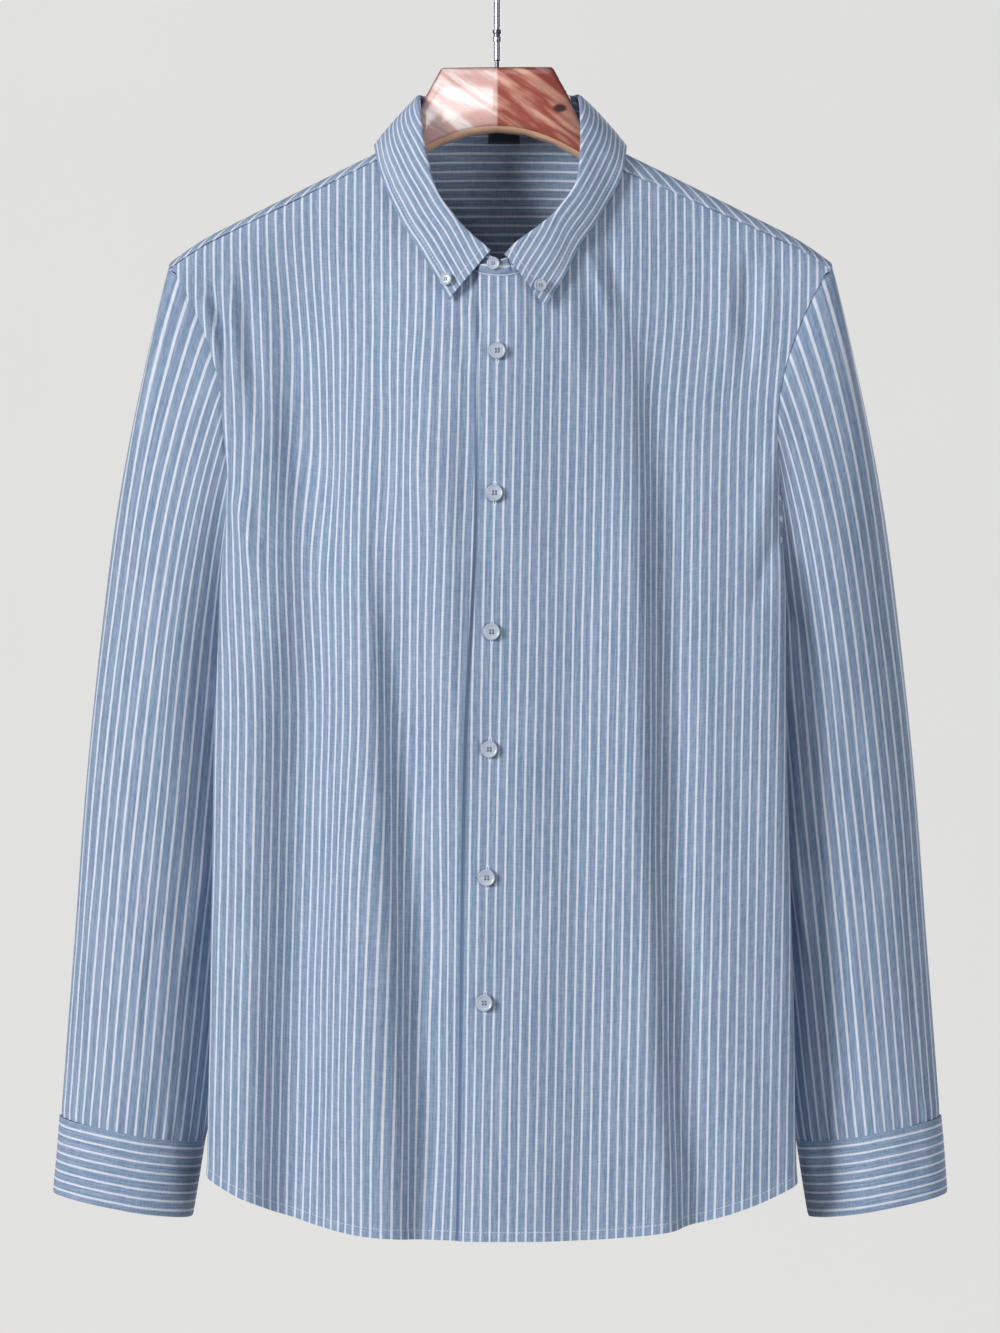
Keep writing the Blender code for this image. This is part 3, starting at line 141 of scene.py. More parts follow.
# Long soft ridges and, with a height below 0, troughs
WAVE_COLUMNS = ("face", "path", "z_top", "height", "width")
WAVE_ROWS = (
    ("front", "right_trough", -0.25, -0.008, 0.022),
    ("front", "right_swell", -0.2, 0.006, 0.02),
    ("front", "right_edge", -0.32, 0.0024, 0.011),
    ("front", "left_soft", -0.3, -0.0018, 0.018),
    ("front", "left_middle", -0.44, 0.0016, 0.015),
    ("back", "back_middle", -0.42, 0.004, 0.022),
)

# Soft creases, each a curve from a past b to c. The fronts' first three are broad folds.
CREASE_COLUMNS = ("x_a", "z_a", "x_b", "z_b", "x_c", "z_c", "height", "width")
FRONT_CREASES = (
    (-0.152, -0.195, -0.14, -0.33, -0.134, -0.47, -0.01, 0.026),
    (-0.102, -0.54, -0.098, -0.76, -0.096, -1.06, 0.006, 0.019),
    (-0.04, -0.56, -0.037, -0.76, -0.036, -1.06, -0.005, 0.017),
    (-0.206, -0.26, -0.199, -0.34, -0.195, -0.46, 0.003, 0.014),
    (-0.082, -0.3, -0.08, -0.37, -0.081, -0.45, -0.0024, 0.01),
    (-0.056, -0.25, -0.057, -0.35, -0.055, -0.45, 0.003, 0.012),
    (-0.023, -0.31, -0.022, -0.37, -0.023, -0.45, -0.0018, 0.011),
    (-0.218, -0.242, -0.202, -0.28, -0.19, -0.33, 0.0033, 0.005),
    (-0.207, -0.244, -0.195, -0.28, -0.188, -0.35, -0.0039, 0.0045),
    (-0.196, -0.234, -0.186, -0.28, -0.184, -0.36, 0.003, 0.0055),
    (-0.186, -0.226, -0.176, -0.28, -0.166, -0.37, -0.0033, 0.007),
    (-0.17, -0.25, -0.162, -0.32, -0.15, -0.44, 0.0024, 0.01),
    (-0.188, -0.39, -0.178, -0.42, -0.17, -0.47, 0.0024, 0.006),
    (-0.024, -0.255, -0.019, -0.275, -0.017, -0.305, 0.0018, 0.0035),
    (-0.0155, -0.26, -0.014, -0.28, -0.013, -0.3, -0.0015, 0.003),
    (-0.03, -0.265, -0.026, -0.29, -0.025, -0.33, -0.0015, 0.004),
    (0.011, -0.256, 0.015, -0.272, 0.016, -0.29, 0.0015, 0.0035),
    (0.056, -0.215, 0.068, -0.245, 0.08, -0.29, 0.0027, 0.005),
    (0.066, -0.195, 0.079, -0.23, 0.09, -0.28, -0.0024, 0.0045),
    (0.048, -0.242, 0.052, -0.27, 0.056, -0.33, 0.0021, 0.006),
    (0.156, -0.215, 0.16, -0.25, 0.162, -0.32, 0.0024, 0.006),
    (0.174, -0.22, 0.176, -0.25, 0.174, -0.33, -0.0027, 0.0055),
    (0.19, -0.23, 0.189, -0.26, 0.185, -0.32, 0.0021, 0.0055),
    (0.196, -0.35, 0.186, -0.39, 0.178, -0.45, 0.003, 0.007),
    (0.198, -0.42, 0.186, -0.445, 0.176, -0.49, -0.0024, 0.006),
)
BACK_CREASES = (
    (-0.178, -0.3, -0.16, -0.35, -0.15, -0.43, 0.0022, 0.008),
    (-0.185, -0.36, -0.165, -0.4, -0.15, -0.47, -0.0018, 0.007),
    (0.178, -0.3, 0.162, -0.34, 0.15, -0.41, 0.0024, 0.008),
    (0.185, -0.37, 0.17, -0.4, 0.156, -0.46, -0.0018, 0.0065),
    (-0.06, -0.26, -0.05, -0.3, -0.054, -0.37, 0.0016, 0.009),
    (0.05, -0.26, 0.044, -0.3, 0.046, -0.36, 0.0016, 0.009),
)

# The hanging sleeve: where its outer and inner sides lie at each level, its depth there, and how square its
# section is, where 2 is an ellipse and less is more pointed
SLEEVE_COLUMNS = ("z", "outer", "inner", "middle_y", "half_depth", "square")
SLEEVE_ROWS = (
    (-0.2, 0.225, 0.17, 0.0, 0.026, 1.9),
    (-0.246, 0.239, 0.176, 0.001, 0.031, 1.85),
    (-0.3165, 0.255, 0.176, 0.005, 0.04, 1.8),
    (-0.4017, 0.271, 0.178, 0.012, 0.047, 1.75),
    (-0.4869, 0.283, 0.1785, 0.018, 0.049, 1.7),
    (-0.6005, 0.295, 0.183, 0.02, 0.044, 1.7),
    (-0.72, 0.304, 0.1945, 0.017, 0.037, 1.7),
    (-0.84, 0.3125, 0.2075, 0.011, 0.029, 1.8),
    (-0.91, 0.318, 0.219, 0.008, 0.026, 1.9),
)

# Creases on a sleeve. Here x is the share of the way round it and z the share of the way down it.
SLEEVE_CREASES = {
    -1: (
        (0.06, 0.16, 0.11, 0.24, 0.15, 0.36, 0.0026, 0.016),
        (0.03, 0.26, 0.09, 0.33, 0.13, 0.45, -0.0022, 0.014),
        (0.12, 0.5, 0.15, 0.62, 0.16, 0.8, 0.002, 0.018),
        (0.3, 0.4, 0.32, 0.55, 0.33, 0.75, 0.0016, 0.02),
        (0.22, 0.66, 0.25, 0.8, 0.24, 0.94, -0.0016, 0.016),
        (0.4, 0.7, 0.395, 0.82, 0.38, 0.97, 0.0016, 0.013),
        (0.62, 0.3, 0.65, 0.45, 0.64, 0.6, 0.0024, 0.02),
        (0.8, 0.2, 0.76, 0.4, 0.78, 0.55, -0.0024, 0.018),
        (0.7, 0.6, 0.72, 0.75, 0.7, 0.9, 0.002, 0.016),
    ),
    1: (
        (0.07, 0.14, 0.12, 0.22, 0.16, 0.36, 0.0026, 0.016),
        (0.11, 0.12, 0.17, 0.2, 0.2, 0.32, -0.002, 0.013),
        (0.1, 0.46, 0.14, 0.6, 0.15, 0.78, 0.002, 0.018),
        (0.29, 0.42, 0.31, 0.58, 0.33, 0.74, -0.0016, 0.02),
        (0.23, 0.62, 0.26, 0.78, 0.25, 0.95, 0.0018, 0.015),
        (0.395, 0.66, 0.4, 0.8, 0.385, 0.96, -0.0014, 0.013),
        (0.62, 0.35, 0.64, 0.5, 0.65, 0.66, 0.0022, 0.02),
        (0.79, 0.18, 0.77, 0.38, 0.79, 0.52, 0.0024, 0.018),
        (0.71, 0.62, 0.7, 0.76, 0.71, 0.92, -0.002, 0.016),
    ),
}

# The collar's fold and its leaf's outer edge, in degrees round the neck from the back's centre. The leaf's
# edge lies on one face of the body: 1 at the back, -1 in front and 0 on the ridge.
COLLAR_COLUMNS = ("degrees", "y", "left_x", "left_z", "right_x", "right_z")
COLLAR_FOLD = (
    (0, 0.03, 0.0, -0.112, 0.0, -0.112),
    (30, 0.027, 0.0275, -0.112, 0.0275, -0.112),
    (60, 0.0185, 0.0475, -0.1125, 0.049, -0.1125),
    (90, 0.0035, 0.0545, -0.115, 0.0568, -0.115),
    (96, -0.015, 0.055, -0.118, 0.0566, -0.1175),
    (101, -0.025, 0.0555, -0.129, 0.0558, -0.127),
    (109, -0.033, 0.0555, -0.155, 0.0528, -0.153),
    (118, -0.0395, 0.0525, -0.1785, 0.0448, -0.1835),
    (128, -0.0445, 0.041, -0.1965, 0.0333, -0.201),
    (142, -0.0485, 0.0268, -0.21, 0.0214, -0.215),
    (157, -0.051, 0.0092, -0.2235, 0.011, -0.224),
    (166, -0.052, 0.0025, -0.231, 0.0062, -0.2285),
    (180, -0.0525, 0.0, -0.2325, 0.0, -0.2325),
    (194, -0.053, -0.016, -0.236, -0.016, -0.236),
)
LEAF_COLUMNS = ("degrees", "face", "left_x", "left_z", "right_x", "right_z")
LEAF_EDGE = (
    (0, 1, 0.0, -0.16, 0.0, -0.16),
    (30, 1, 0.03, -0.1605, 0.03, -0.1605),
    (60, 1, 0.06, -0.1625, 0.06, -0.1625),
    (80, 1, 0.081, -0.159, 0.081, -0.159),
    (90, 0, 0.0865, -0.1546, 0.0865, -0.1546),
    (98, -1, 0.0862, -0.164, 0.0855, -0.165),
    (108, -1, 0.0822, -0.1795, 0.0795, -0.184),
    (119, -1, 0.0693, -0.202, 0.0683, -0.2075),
    (132, -1, 0.0547, -0.224, 0.054, -0.2305),
    (148, -1, 0.0438, -0.246, 0.043, -0.25),
    (166, -1, 0.03, -0.269, 0.0348, -0.2645),
)

# The buttons, by their radius
BUTTONS = {
    0.0059: tuple(f"front_button_{number}" for number in range(1, 7)),
    0.005: ("cuff_button_left", "cuff_button_right"),
    0.0044: ("stand_button", "collar_button_left", "collar_button_right"),
}


class Side(Enum):
    """The wearer's side that a piece belongs to."""

    RIGHT = -1
    LEFT = 1

    @property
    def word(self) -> str:
        """The side's name, as the nodes spell it."""
        return self.name.lower()


class Held(Enum):
    """How a piece of cloth is carried."""

    HUNG = "hung"
    FOLDED = "folded"
    LAID = "laid"


# --- Numbers ---


def table(rows: tuple, names: tuple) -> dict[str, np.ndarray]:
    """The columns of a table, as arrays by name."""
    return {name: np.array([row[i] for row in rows], float) for i, name in enumerate(names)}


def smooth(at: Numbers, stations: Numbers, values: Numbers) -> np.ndarray:
    """A smooth curve through a table's values.

    Args:
        at: the places to read it at.
        stations: the table's places, rising or falling.
        values: what the table holds there.

    Returns:
        The curve's value at each place.
    """
    stations, values = np.asarray(stations, float), np.asarray(values, float)
    if stations[0] > stations[-1]:
        stations, values = stations[::-1], values[::-1]
    at = np.clip(np.asarray(at, float), stations[0], stations[-1])
    slopes = np.gradient(values, stations)
    low = np.clip(np.searchsorted(stations, at, side="right") - 1, 0, len(stations) - 2)
    span = stations[low + 1] - stations[low]
    part = (at - stations[low]) / span
    rise = part * part * (3 - 2 * part)
    start = part * (1 - part) ** 2 * span * slopes[low]
    end = part * part * (part - 1) * span * slopes[low + 1]
    return values[low] * (1 - rise) + values[low + 1] * rise + start + end


def ramp(value: Numbers) -> np.ndarray:
    """0 up to 0 and 1 from 1 on, with an even turn between."""
    part = np.clip(value, 0.0, 1.0)
    return part * part * (3 - 2 * part)


def unit(vectors: np.ndarray) -> np.ndarray:
    """The vectors at length 1."""
    return vectors / np.maximum(np.linalg.norm(vectors, axis=-1, keepdims=True), 1e-12)


def chain(stops: tuple, counts: tuple) -> np.ndarray:
    """Values from stop to stop, with that many even steps between each two."""
    parts = [np.linspace(a, b, n, endpoint=False) for a, b, n in zip(stops, stops[1:], counts)]
    return np.append(np.concatenate(parts), stops[-1])


def along(points: np.ndarray, axis: int) -> np.ndarray:
    """The distance walked along one axis of a grid of points, from its start."""
    steps = np.linalg.norm(np.diff(points, axis=axis), axis=-1)
    walked = np.cumsum(steps, axis=axis)
    pad = [(0, 0), (0, 0)]
    pad[axis] = (1, 0)
    return np.pad(walked, pad)


def creases(rows: tuple, x: np.ndarray, z: np.ndarray, z_scale: float = 1.0) -> np.ndarray:
    """The height of soft creases.

    Args:
        rows: the creases, by CREASE_COLUMNS.
        x: places across, in the rows' own measure.
        z: places along.
        z_scale: what a step along counts for beside a step across.

    Returns:
        How far the creases move the cloth outwards at each place.
    """
    total = np.zeros(x.shape)
    turns = np.linspace(0, 1, 17)
    for row in rows:
        crease = dict(zip(CREASE_COLUMNS, row))
        share = ((1 - turns) ** 2, 2 * turns * (1 - turns), turns**2)
        line_x = sum(s * crease[k] for s, k in zip(share, ("x_a", "x_b", "x_c")))
        line_z = sum(s * crease[k] for s, k in zip(share, ("z_a", "z_b", "z_c"))) * z_scale
        best = np.full(x.shape, np.inf)
        where = np.zeros(x.shape)
        for i in range(len(turns) - 1):
            run_x, run_z = line_x[i + 1] - line_x[i], line_z[i + 1] - line_z[i]
            away_x, away_z = x - line_x[i], z * z_scale - line_z[i]
            part = np.clip((away_x * run_x + away_z * run_z) / (run_x**2 + run_z**2), 0, 1)
            miss = np.hypot(away_x - part * run_x, away_z - part * run_z)
            nearer = miss < best
            best = np.where(nearer, miss, best)
            where = np.where(nearer, (i + part) / (len(turns) - 1), where)
        ends = ramp(np.minimum(where, 1 - where) / 0.4)
        total += crease["height"] * ends * np.exp(-((best / crease["width"]) ** 2))
    return total


def crumple(u: np.ndarray, v: np.ndarray, size: float, height: float, seed: int) -> np.ndarray:
    """A faint unevenness, the sum of waves of about one size in seeded directions."""
    draw = np.random.default_rng(seed)
    total = np.zeros(np.broadcast(u, v).shape)
    for _ in range(9):
        turn, phase = draw.uniform(-0.7, 0.7), draw.uniform(0, 2 * math.pi)
        wave = size * draw.uniform(0.6, 1.7)
        across = u * math.cos(turn) + v * math.sin(turn) * 0.6
        total += np.sin(2 * math.pi * across / wave + phase)
    return total * height / 3


# --- Node graphs ---


class Value:
    """A shader socket that takes part in sums, each of which adds a Math node."""

    def __init__(self, graph: "Graph", socket: bpy.types.NodeSocket) -> None:
        """Args: graph: where the nodes go. socket: the output that holds the value."""
        self.graph = graph
        self.socket = socket

    def __add__(self, other: "Value | float") -> "Value":
        """Sum."""
        return self.graph.math("ADD", self, other)

    def __sub__(self, other: "Value | float") -> "Value":
        """Difference."""
        return self.graph.math("SUBTRACT", self, other)

    def __rsub__(self, other: "Value | float") -> "Value":
        """Difference, the other way round."""
        return self.graph.math("SUBTRACT", other, self)

    def __mul__(self, other: "Value | float") -> "Value":
        """Product."""
        return self.graph.math("MULTIPLY", self, other)

    def __truediv__(self, other: "Value | float") -> "Value":
        """Quotient."""
        return self.graph.math("DIVIDE", self, other)

    def __abs__(self) -> "Value":
        """Size without its sign."""
        return self.graph.math("ABSOLUTE", self)

    __radd__ = __add__
    __rmul__ = __mul__


class Graph:
    """The nodes of one material."""

    def __init__(self, name: str) -> None:
        """Args: name: the material's."""
        self.material = bpy.data.materials.new(name)
        self.material.use_nodes = True
        self.tree = self.material.node_tree
        self.shader = self.tree.nodes["Principled BSDF"]

    def node(
        self, kind: str, settings: dict | None = None, inputs: dict | None = None, output: int | str = 0
    ) -> Value:
        """Adds a node.

        Args:
            kind: its type.
            settings: attributes that are set first.
            inputs: values or links, by socket name or number.
            output: the socket that the result reads.

        Returns:
            That output.
        """
        made = self.tree.nodes.new(kind)
        for key, value in (settings or {}).items():
            setattr(made, key, value)
        for key, value in (inputs or {}).items():
            self.join(value, made.inputs[key])
        return Value(self, made.outputs[output])

    def join(self, value: Value | float | tuple, socket: bpy.types.NodeSocket) -> None:
        """Links or sets a socket."""
        if isinstance(value, Value):
            self.tree.links.new(value.socket, socket)
        else:
            socket.default_value = value

    def math(self, operation: str, *values: Value | float) -> Value:
        """One Math node on values."""
        return self.node("ShaderNodeMath", {"operation": operation}, dict(enumerate(values)))

    def mix(self, share: Value | float, low: Value | tuple, high: Value | tuple) -> Value:
        """A colour between two, by a share."""
        return self.node("ShaderNodeMix", {"data_type": "RGBA"}, {0: share, 6: low, 7: high}, output=2)

    def paint(self, tone: Value | tuple, *coats: tuple) -> Value:
        """A tone under coats, each with its mask, how much it covers there and its colour."""
        for mask, cover, tint in coats:
            tone = self.mix(mask * cover, tone, tint)
        return tone

    def step(self, value: Value, low: float, high: float) -> Value:
        """0 at low and 1 at high, smooth between."""
        settings = {"interpolation_type": "SMOOTHSTEP"}
        return self.node("ShaderNodeMapRange", settings, {0: value, 1: low, 2: high})

    def wave(self, value: Value, pitch: float) -> Value:
        """A sine wave along a value."""
        return self.math("SINE", value * (2 * math.pi / pitch))

    def place(self, vector: Value, stretch: tuple) -> Value:
        """A place, stretched along each axis."""
        return self.node("ShaderNodeMapping", {}, {"Vector": vector, "Scale": stretch})

    def noise(self, place: Value, stretch: tuple | None = None, detail: float = 2.0) -> Value:
        """A noise's value at a place, stretched first if the noise is to be uneven."""
        place = self.place(place, stretch) if stretch else place
        return self.node("ShaderNodeTexNoise", {}, {"Vector": place, "Scale": 1.0, "Detail": detail})

    def parts(self, vector: Value) -> list[Value]:
        """A vector's three numbers."""
        made = self.node("ShaderNodeSeparateXYZ", {}, {0: vector}).socket.node
        return [Value(self, output) for output in made.outputs]

    def uv(self, name: str) -> Value:
        """The place in a UV map."""
        return self.node("ShaderNodeUVMap", {"uv_map": name})

    def object_place(self) -> Value:
        """The place in the object's own space."""
        return self.node("ShaderNodeTexCoord", {}, {}, "Object")

    def bump(self, height: Value, strength: float, distance: float = 1.0) -> Value:
        """A normal, from a height."""
        return self.node("ShaderNodeBump", {}, {"Height": height, "Strength": strength, "Distance": distance})

    def finish(self, **sockets) -> bpy.types.Material:
        """Sets or links the shader's sockets, whose names are written with _ for a space."""
        for name, value in sockets.items():
            self.join(value, self.shader.inputs[name.replace("_", " ")])
        return self.material


def colour(red: float, green: float, blue: float) -> tuple[float, float, float, float]:
    """A display colour from 0 to 255 as a shader's."""
    parts = (channel / 255 for channel in (red, green, blue))
    return (*((p / 12.92 if p <= 0.04045 else ((p + 0.055) / 1.055) ** 2.4) for p in parts), 1.0)


# --- Finishes ---


@dataclass(frozen=True)
class StripedCloth:
    """Blue chambray with fine white stripes, its topstitching, the buttonholes, a painted shadow round each
    button and painted shade along the lap of the front opening.

    The UV map "edge" says how far a place is from a stitched border, and how far along it. "slit" says how
    far it is from the lap's edge, and how far above its nearest button or, on the under front, its level.
    """

    name: str
    pitch: float = PITCH
    phase: float = 0.0
    line: float = 0.0015
    soft: float = 0.0003
    wander: float = 0.0005
    stitch_in: float = 0.0015
    stitch: float = 0.0026
    stitch_edge: tuple[float, float] = (0.00045, 0.0002)
    threads: tuple[float, float] = (0.00042, 0.00046)
    buttonholes: bool = False
    under_lap: bool = False
    # How many times finer than a metre each unevenness is, across the stripes and along them
    waver: tuple = (60, 25, 1)
    slub: tuple = (820, 120, 1)
    weft: tuple = (120, 820, 1)
    cloud: tuple = (22, 12, 1)
    tint: tuple = (560, 9, 1)
    streak: tuple = (900, 16, 1)
    # Where each mark starts and where it is full, across the opening and, where it ends along it, along it.
    # The ring is a painted shadow round each button; the lap's marks are painted shade at the upper front's
    # edge and a painted shadow on the under front beside it.
    ring: tuple = (0.008, 0.006)
    sewn: tuple = ((0.0014, 0.001), (0.0086, 0.0082))
    slit: tuple = ((0.0004, 0.0002), (0.0076, 0.0072))
    lap_shade: tuple = (0.001, 0.0004)
    lap_shadow_span: tuple = ((0.0019, 0.001), (-0.3, -0.37))
    lap_shadow_in: float = 0.0008
    green: tuple = colour(112, 148, 176)
    violet: tuple = colour(135, 150, 186)
    deep: tuple = colour(97, 119, 152)
    pale: tuple = colour(173, 188, 211)
    white: tuple = colour(222, 228, 242)

    def ground(self, graph: Graph, cloth: Value, fleck: Value) -> Value:
        """The chambray's blue, deep to pale by flecks and streaks, here greener and there more violet."""
        cloudy = graph.noise(cloth, self.cloud)
        tints = graph.step(graph.noise(cloth, self.tint), 0.42, 0.58)
        streak = graph.step(graph.noise(cloth, self.streak), 0.42, 0.6)
        ground = graph.mix(fleck * 0.55 + streak * 0.45, self.deep, self.pale)
        ground = graph.mix(0.45, ground, graph.mix(tints, self.green, self.violet))
        return graph.paint(ground, (cloudy, 0.16, self.pale))

    def opening(self, graph: Graph, tone: Value, across: Value) -> Value:
        """The tone with the buttonholes, a painted shadow round their buttons, painted shade at the upper
        front's edge and a painted shadow on the under front beside that edge.
        """
        lapped, rise, _ = graph.parts(graph.uv("slit"))
        coats = []
        if self.buttonholes:
            aside, away = abs(across), abs(rise)
            ring = graph.step(graph.math("SQRT", aside * aside + away * away), *self.ring)
            # A painted shadow round each button
            coats.append((ring, 0.5, self.deep))
            for (wide, tall), cover, tint in ((self.sewn, 0.75, self.white), (self.slit, 0.8, self.deep)):
                coats.append((graph.step(aside, *wide) * graph.step(away, *tall), cover, tint))
            # Painted shade along the upper front's edge
            coats.append((graph.step(lapped, *self.lap_shade), 0.8, self.deep))
        if self.under_lap:
            # A painted shadow on the under front, where the upper front's edge lies over it
            wide, tall = self.lap_shadow_span
            lap_shadow = graph.step(abs(lapped + self.lap_shadow_in), *wide) * graph.step(rise, *tall)
            coats.append((lap_shadow, 0.95, self.deep))
        return graph.paint(tone, *coats)

    def material(self) -> bpy.types.Material:
        """Builds it."""
        graph = Graph(self.name)
        cloth = graph.uv("cloth")
        across, run, _ = graph.parts(cloth)
        wander = graph.noise(cloth, self.waver) - 0.5
        place = (across + wander * self.wander) / self.pitch + (self.phase + 0.5)
        off = abs(graph.math("FRACT", place) - 0.5) * self.pitch
        line = graph.step(off, self.line / 2 + self.soft, self.line / 2 - self.soft)
        slub, weft = graph.noise(cloth, self.slub), graph.noise(cloth, self.weft)
        fleck = graph.step(slub, 0.42, 0.6) * 0.55 + graph.step(weft, 0.42, 0.6) * 0.45
        tone = graph.mix(line * (0.8 + fleck * 0.2), self.ground(graph, cloth, fleck), self.white)
        edge, length, _ = graph.parts(graph.uv("edge"))
        dash = abs(graph.math("FRACT", length / self.stitch) - 0.5)
        stitch = graph.step(abs(edge - self.stitch_in), *self.stitch_edge) * graph.step(dash, 0.4, 0.3)
        tone = graph.paint(tone, (stitch, 0.55, self.white))
        if self.buttonholes or self.under_lap:
            tone = self.opening(graph, tone, across)
        threads_u, threads_v = (graph.wave(way, pitch) for way, pitch in zip((across, run), self.threads))
        weave = threads_u * threads_v * 0.5 + slub + weft * 0.6
        normal = graph.bump(weave * 0.00006 + line * 0.00003 - stitch * 0.0002, 0.55)
        rough = 0.74 + fleck * 0.1 - line * 0.06
        graph.finish(Base_Color=tone, Roughness=rough, Normal=normal, Specular_IOR_Level=0.28)
        return graph.finish(Sheen_Weight=0.16, Sheen_Roughness=0.45)


@dataclass(frozen=True)
class LabelCloth:
    """A bare woven label, dark, with a paler selvedge."""

    name: str = "label_weave"
    rib: float = 0.0005
    selvedge_in: float = 0.0009
    dark: tuple = colour(24, 28, 44)
    mid: tuple = colour(48, 54, 78)
    pale: tuple = colour(96, 104, 134)

    def material(self) -> bpy.types.Material:
        """Builds it."""
        graph = Graph(self.name)
        cloth = graph.uv("cloth")
        _, run, _ = graph.parts(cloth)
        ribs = graph.wave(run, self.rib) * 0.5 + 0.5
        grain = graph.noise(cloth, (1600, 900, 1))
        edge, _, _ = graph.parts(graph.uv("edge"))
        selvedge = graph.step(abs(edge - self.selvedge_in), 0.0004, 0.0002)
        tone = graph.paint(graph.mix(grain, self.dark, self.mid), (selvedge, 0.5, self.pale))
        normal = graph.bump(ribs * 0.00004 + grain * 0.00003, 0.6)
        return graph.finish(Base_Color=tone, Roughness=0.55 + grain * 0.2, Normal=normal, Sheen_Weight=0.1)


@dataclass(frozen=True)
class ButtonResin:
    """Pale, slightly cloudy resin."""

    name: str = "button_resin"
    grey: tuple = colour(152, 166, 188)
    pale: tuple = colour(194, 203, 218)
    milk: tuple = colour(222, 226, 236)

    def material(self) -> bpy.types.Material:
        """Builds it."""
        graph = Graph(self.name)
        place = graph.object_place()
        cloud = graph.noise(place, (260, 260, 260), 3.0)
        swirl = graph.noise(place, (700, 300, 150))
        tone = graph.paint(graph.mix(cloud, self.grey, self.pale), (swirl, 0.3, self.milk))
        normal = graph.bump(swirl * 0.00002, 0.3)
        graph.finish(Base_Color=tone, Roughness=0.22 + cloud * 0.14, Normal=normal)
        return graph.finish(Coat_Weight=0.35, Coat_Roughness=0.12)


@dataclass(frozen=True)
class SewingThread:
    """Twisted white-blue thread."""

    name: str = "sewing_thread"
    dark: tuple = colour(96, 112, 148)
    pale: tuple = colour(158, 172, 202)

    def material(self) -> bpy.types.Material:
        """Builds it."""
        graph = Graph(self.name)
        grain = graph.noise(graph.object_place(), (4000, 4000, 1200))
        tone = graph.mix(grain, self.dark, self.pale)
        normal = graph.bump(grain, 0.2, 0.0001)
        return graph.finish(Base_Color=tone, Roughness=0.7 + grain * 0.2, Normal=normal)


@dataclass(frozen=True)
class LacqueredWood:
    """Red-brown wood under clear lacquer, with a painted highlight on the wearer's right half and along the
    arch below its neck, and painted shade at its top right, above that arch and along its top edge and
    flanks.
    """

    name: str = "lacquered_wood"
    highlight_half: tuple = (colour(228, 180, 174), colour(255, 242, 238))
    red: tuple = (colour(166, 80, 66), colour(246, 190, 166))
    top_right_shade: tuple = colour(116, 34, 30)
    arch_shade: tuple = colour(110, 52, 36)
    arch_highlight: tuple = colour(244, 196, 160)
    pore: tuple = colour(96, 36, 30)
    knot: tuple = colour(52, 18, 34)
    rim: tuple = colour(104, 24, 26)
    knot_place: tuple = (0.0445, 0, -0.1995)
    arch_bend: float = 5.4

    def material(self) -> bpy.types.Material:
        """Builds it."""
        graph = Graph(self.name)
        place = graph.object_place()
        warp = graph.noise(place, (14, 14, 30), 3.0)
        x, _, z = graph.parts(place)
        slant = {"Vector": place, "Rotation": (0, 0.62, 0), "Scale": (0.11, 0.016, 0.0115)}
        grain = graph.noise(graph.node("ShaderNodeMapping", {"vector_type": "TEXTURE"}, slant), detail=5.0)
        rings = graph.math("SINE", (grain * 2.6 + warp * 1.2) * 6.0) * 0.5 + 0.5
        pores = graph.noise(place, (240, 900, 1500))
        # The wearer's right half carries a painted highlight; the other half shows the red wood
        right, left = (graph.mix(rings, *pair) for pair in (self.highlight_half, self.red))
        tone = graph.mix(graph.step(x, -0.0006, 0.001), right, left)
        arch = z + graph.math("MULTIPLY", x, x) * self.arch_bend
        ends = {0: graph.place(place, (1, 0, 1.6)), 1: self.knot_place}
        knot_at = graph.node("ShaderNodeVectorMath", {"operation": "DISTANCE"}, ends, "Value")
        slope = abs(x) + z * 0.557 + 0.0135
        # Painted shade along the top edge and the flanks of the neck, where the wood turns away
        rim = graph.math("MAXIMUM", graph.step(z, -0.0968, -0.0956), graph.step(slope, -0.0026, -0.001))
        tone = graph.paint(
            tone,
            # Painted shade at the top right
            (graph.step(x * 1.3 + z * 0.9, -0.075, -0.045), 0.5, self.top_right_shade),
            (graph.step(arch, -0.135, -0.1372), 0.45, self.arch_shade),
            # A painted highlight along the arch's lower edge
            (graph.step(arch, -0.1372, -0.1377), 0.85, self.arch_highlight),
            (graph.step(pores, 0.62, 0.75), 0.35, self.pore),
            (graph.step(knot_at, 0.0062, 0.003), 0.95, self.knot),
            (rim, 0.8, self.rim),
        )
        normal = graph.bump(rings * 0.00003 + pores * 0.00004, 0.5)
        graph.finish(Base_Color=tone, Roughness=0.34 + pores * 0.1, Normal=normal)
        return graph.finish(Coat_Weight=1.0, Coat_Roughness=0.1, Coat_IOR=1.6)


@dataclass(frozen=True)
class PlatedSteel:
    """Bright plated steel, faintly brushed, with painted shade over its wearer's left half and in bands where
    the collars turn.
    """

    name: str
    base: tuple = colour(196, 194, 204)
    smeared: tuple = colour(150, 148, 162)
    dark: tuple = colour(48, 46, 56)
    shade_bands: tuple = ((-0.0705, -0.068), (-0.0731, -0.0709), (-0.0765, -0.0761), (-0.095, -0.0893))
    band_soft: float = 0.0001

    def material(self) -> bpy.types.Material:
        """Builds it."""
        graph = Graph(self.name)
        place = graph.object_place()
        brush = graph.noise(place, (2600, 2600, 90), 3.0)
        smear = graph.noise(place, (60, 60, 60))
        x, _, z = graph.parts(place)
        # Painted shade over the wearer's left half, then, in the loop below, painted shade bands where the
        # collars turn
        coats = [(smear, 0.4, self.smeared), (graph.step(x, -0.0006, 0.0012), 0.75, self.dark)]
        for low, high in self.shade_bands:
            inside = graph.step(z, low - self.band_soft, low + self.band_soft)
            inside = inside * graph.step(z, high + self.band_soft, high - self.band_soft)
            coats.append((inside, 0.8, self.dark))
        normal = graph.bump(brush * 0.00002, 0.4)
        tone = graph.paint(self.base, *coats)
        return graph.finish(Base_Color=tone, Metallic=1.0, Roughness=0.16 + brush * 0.12, Normal=normal)


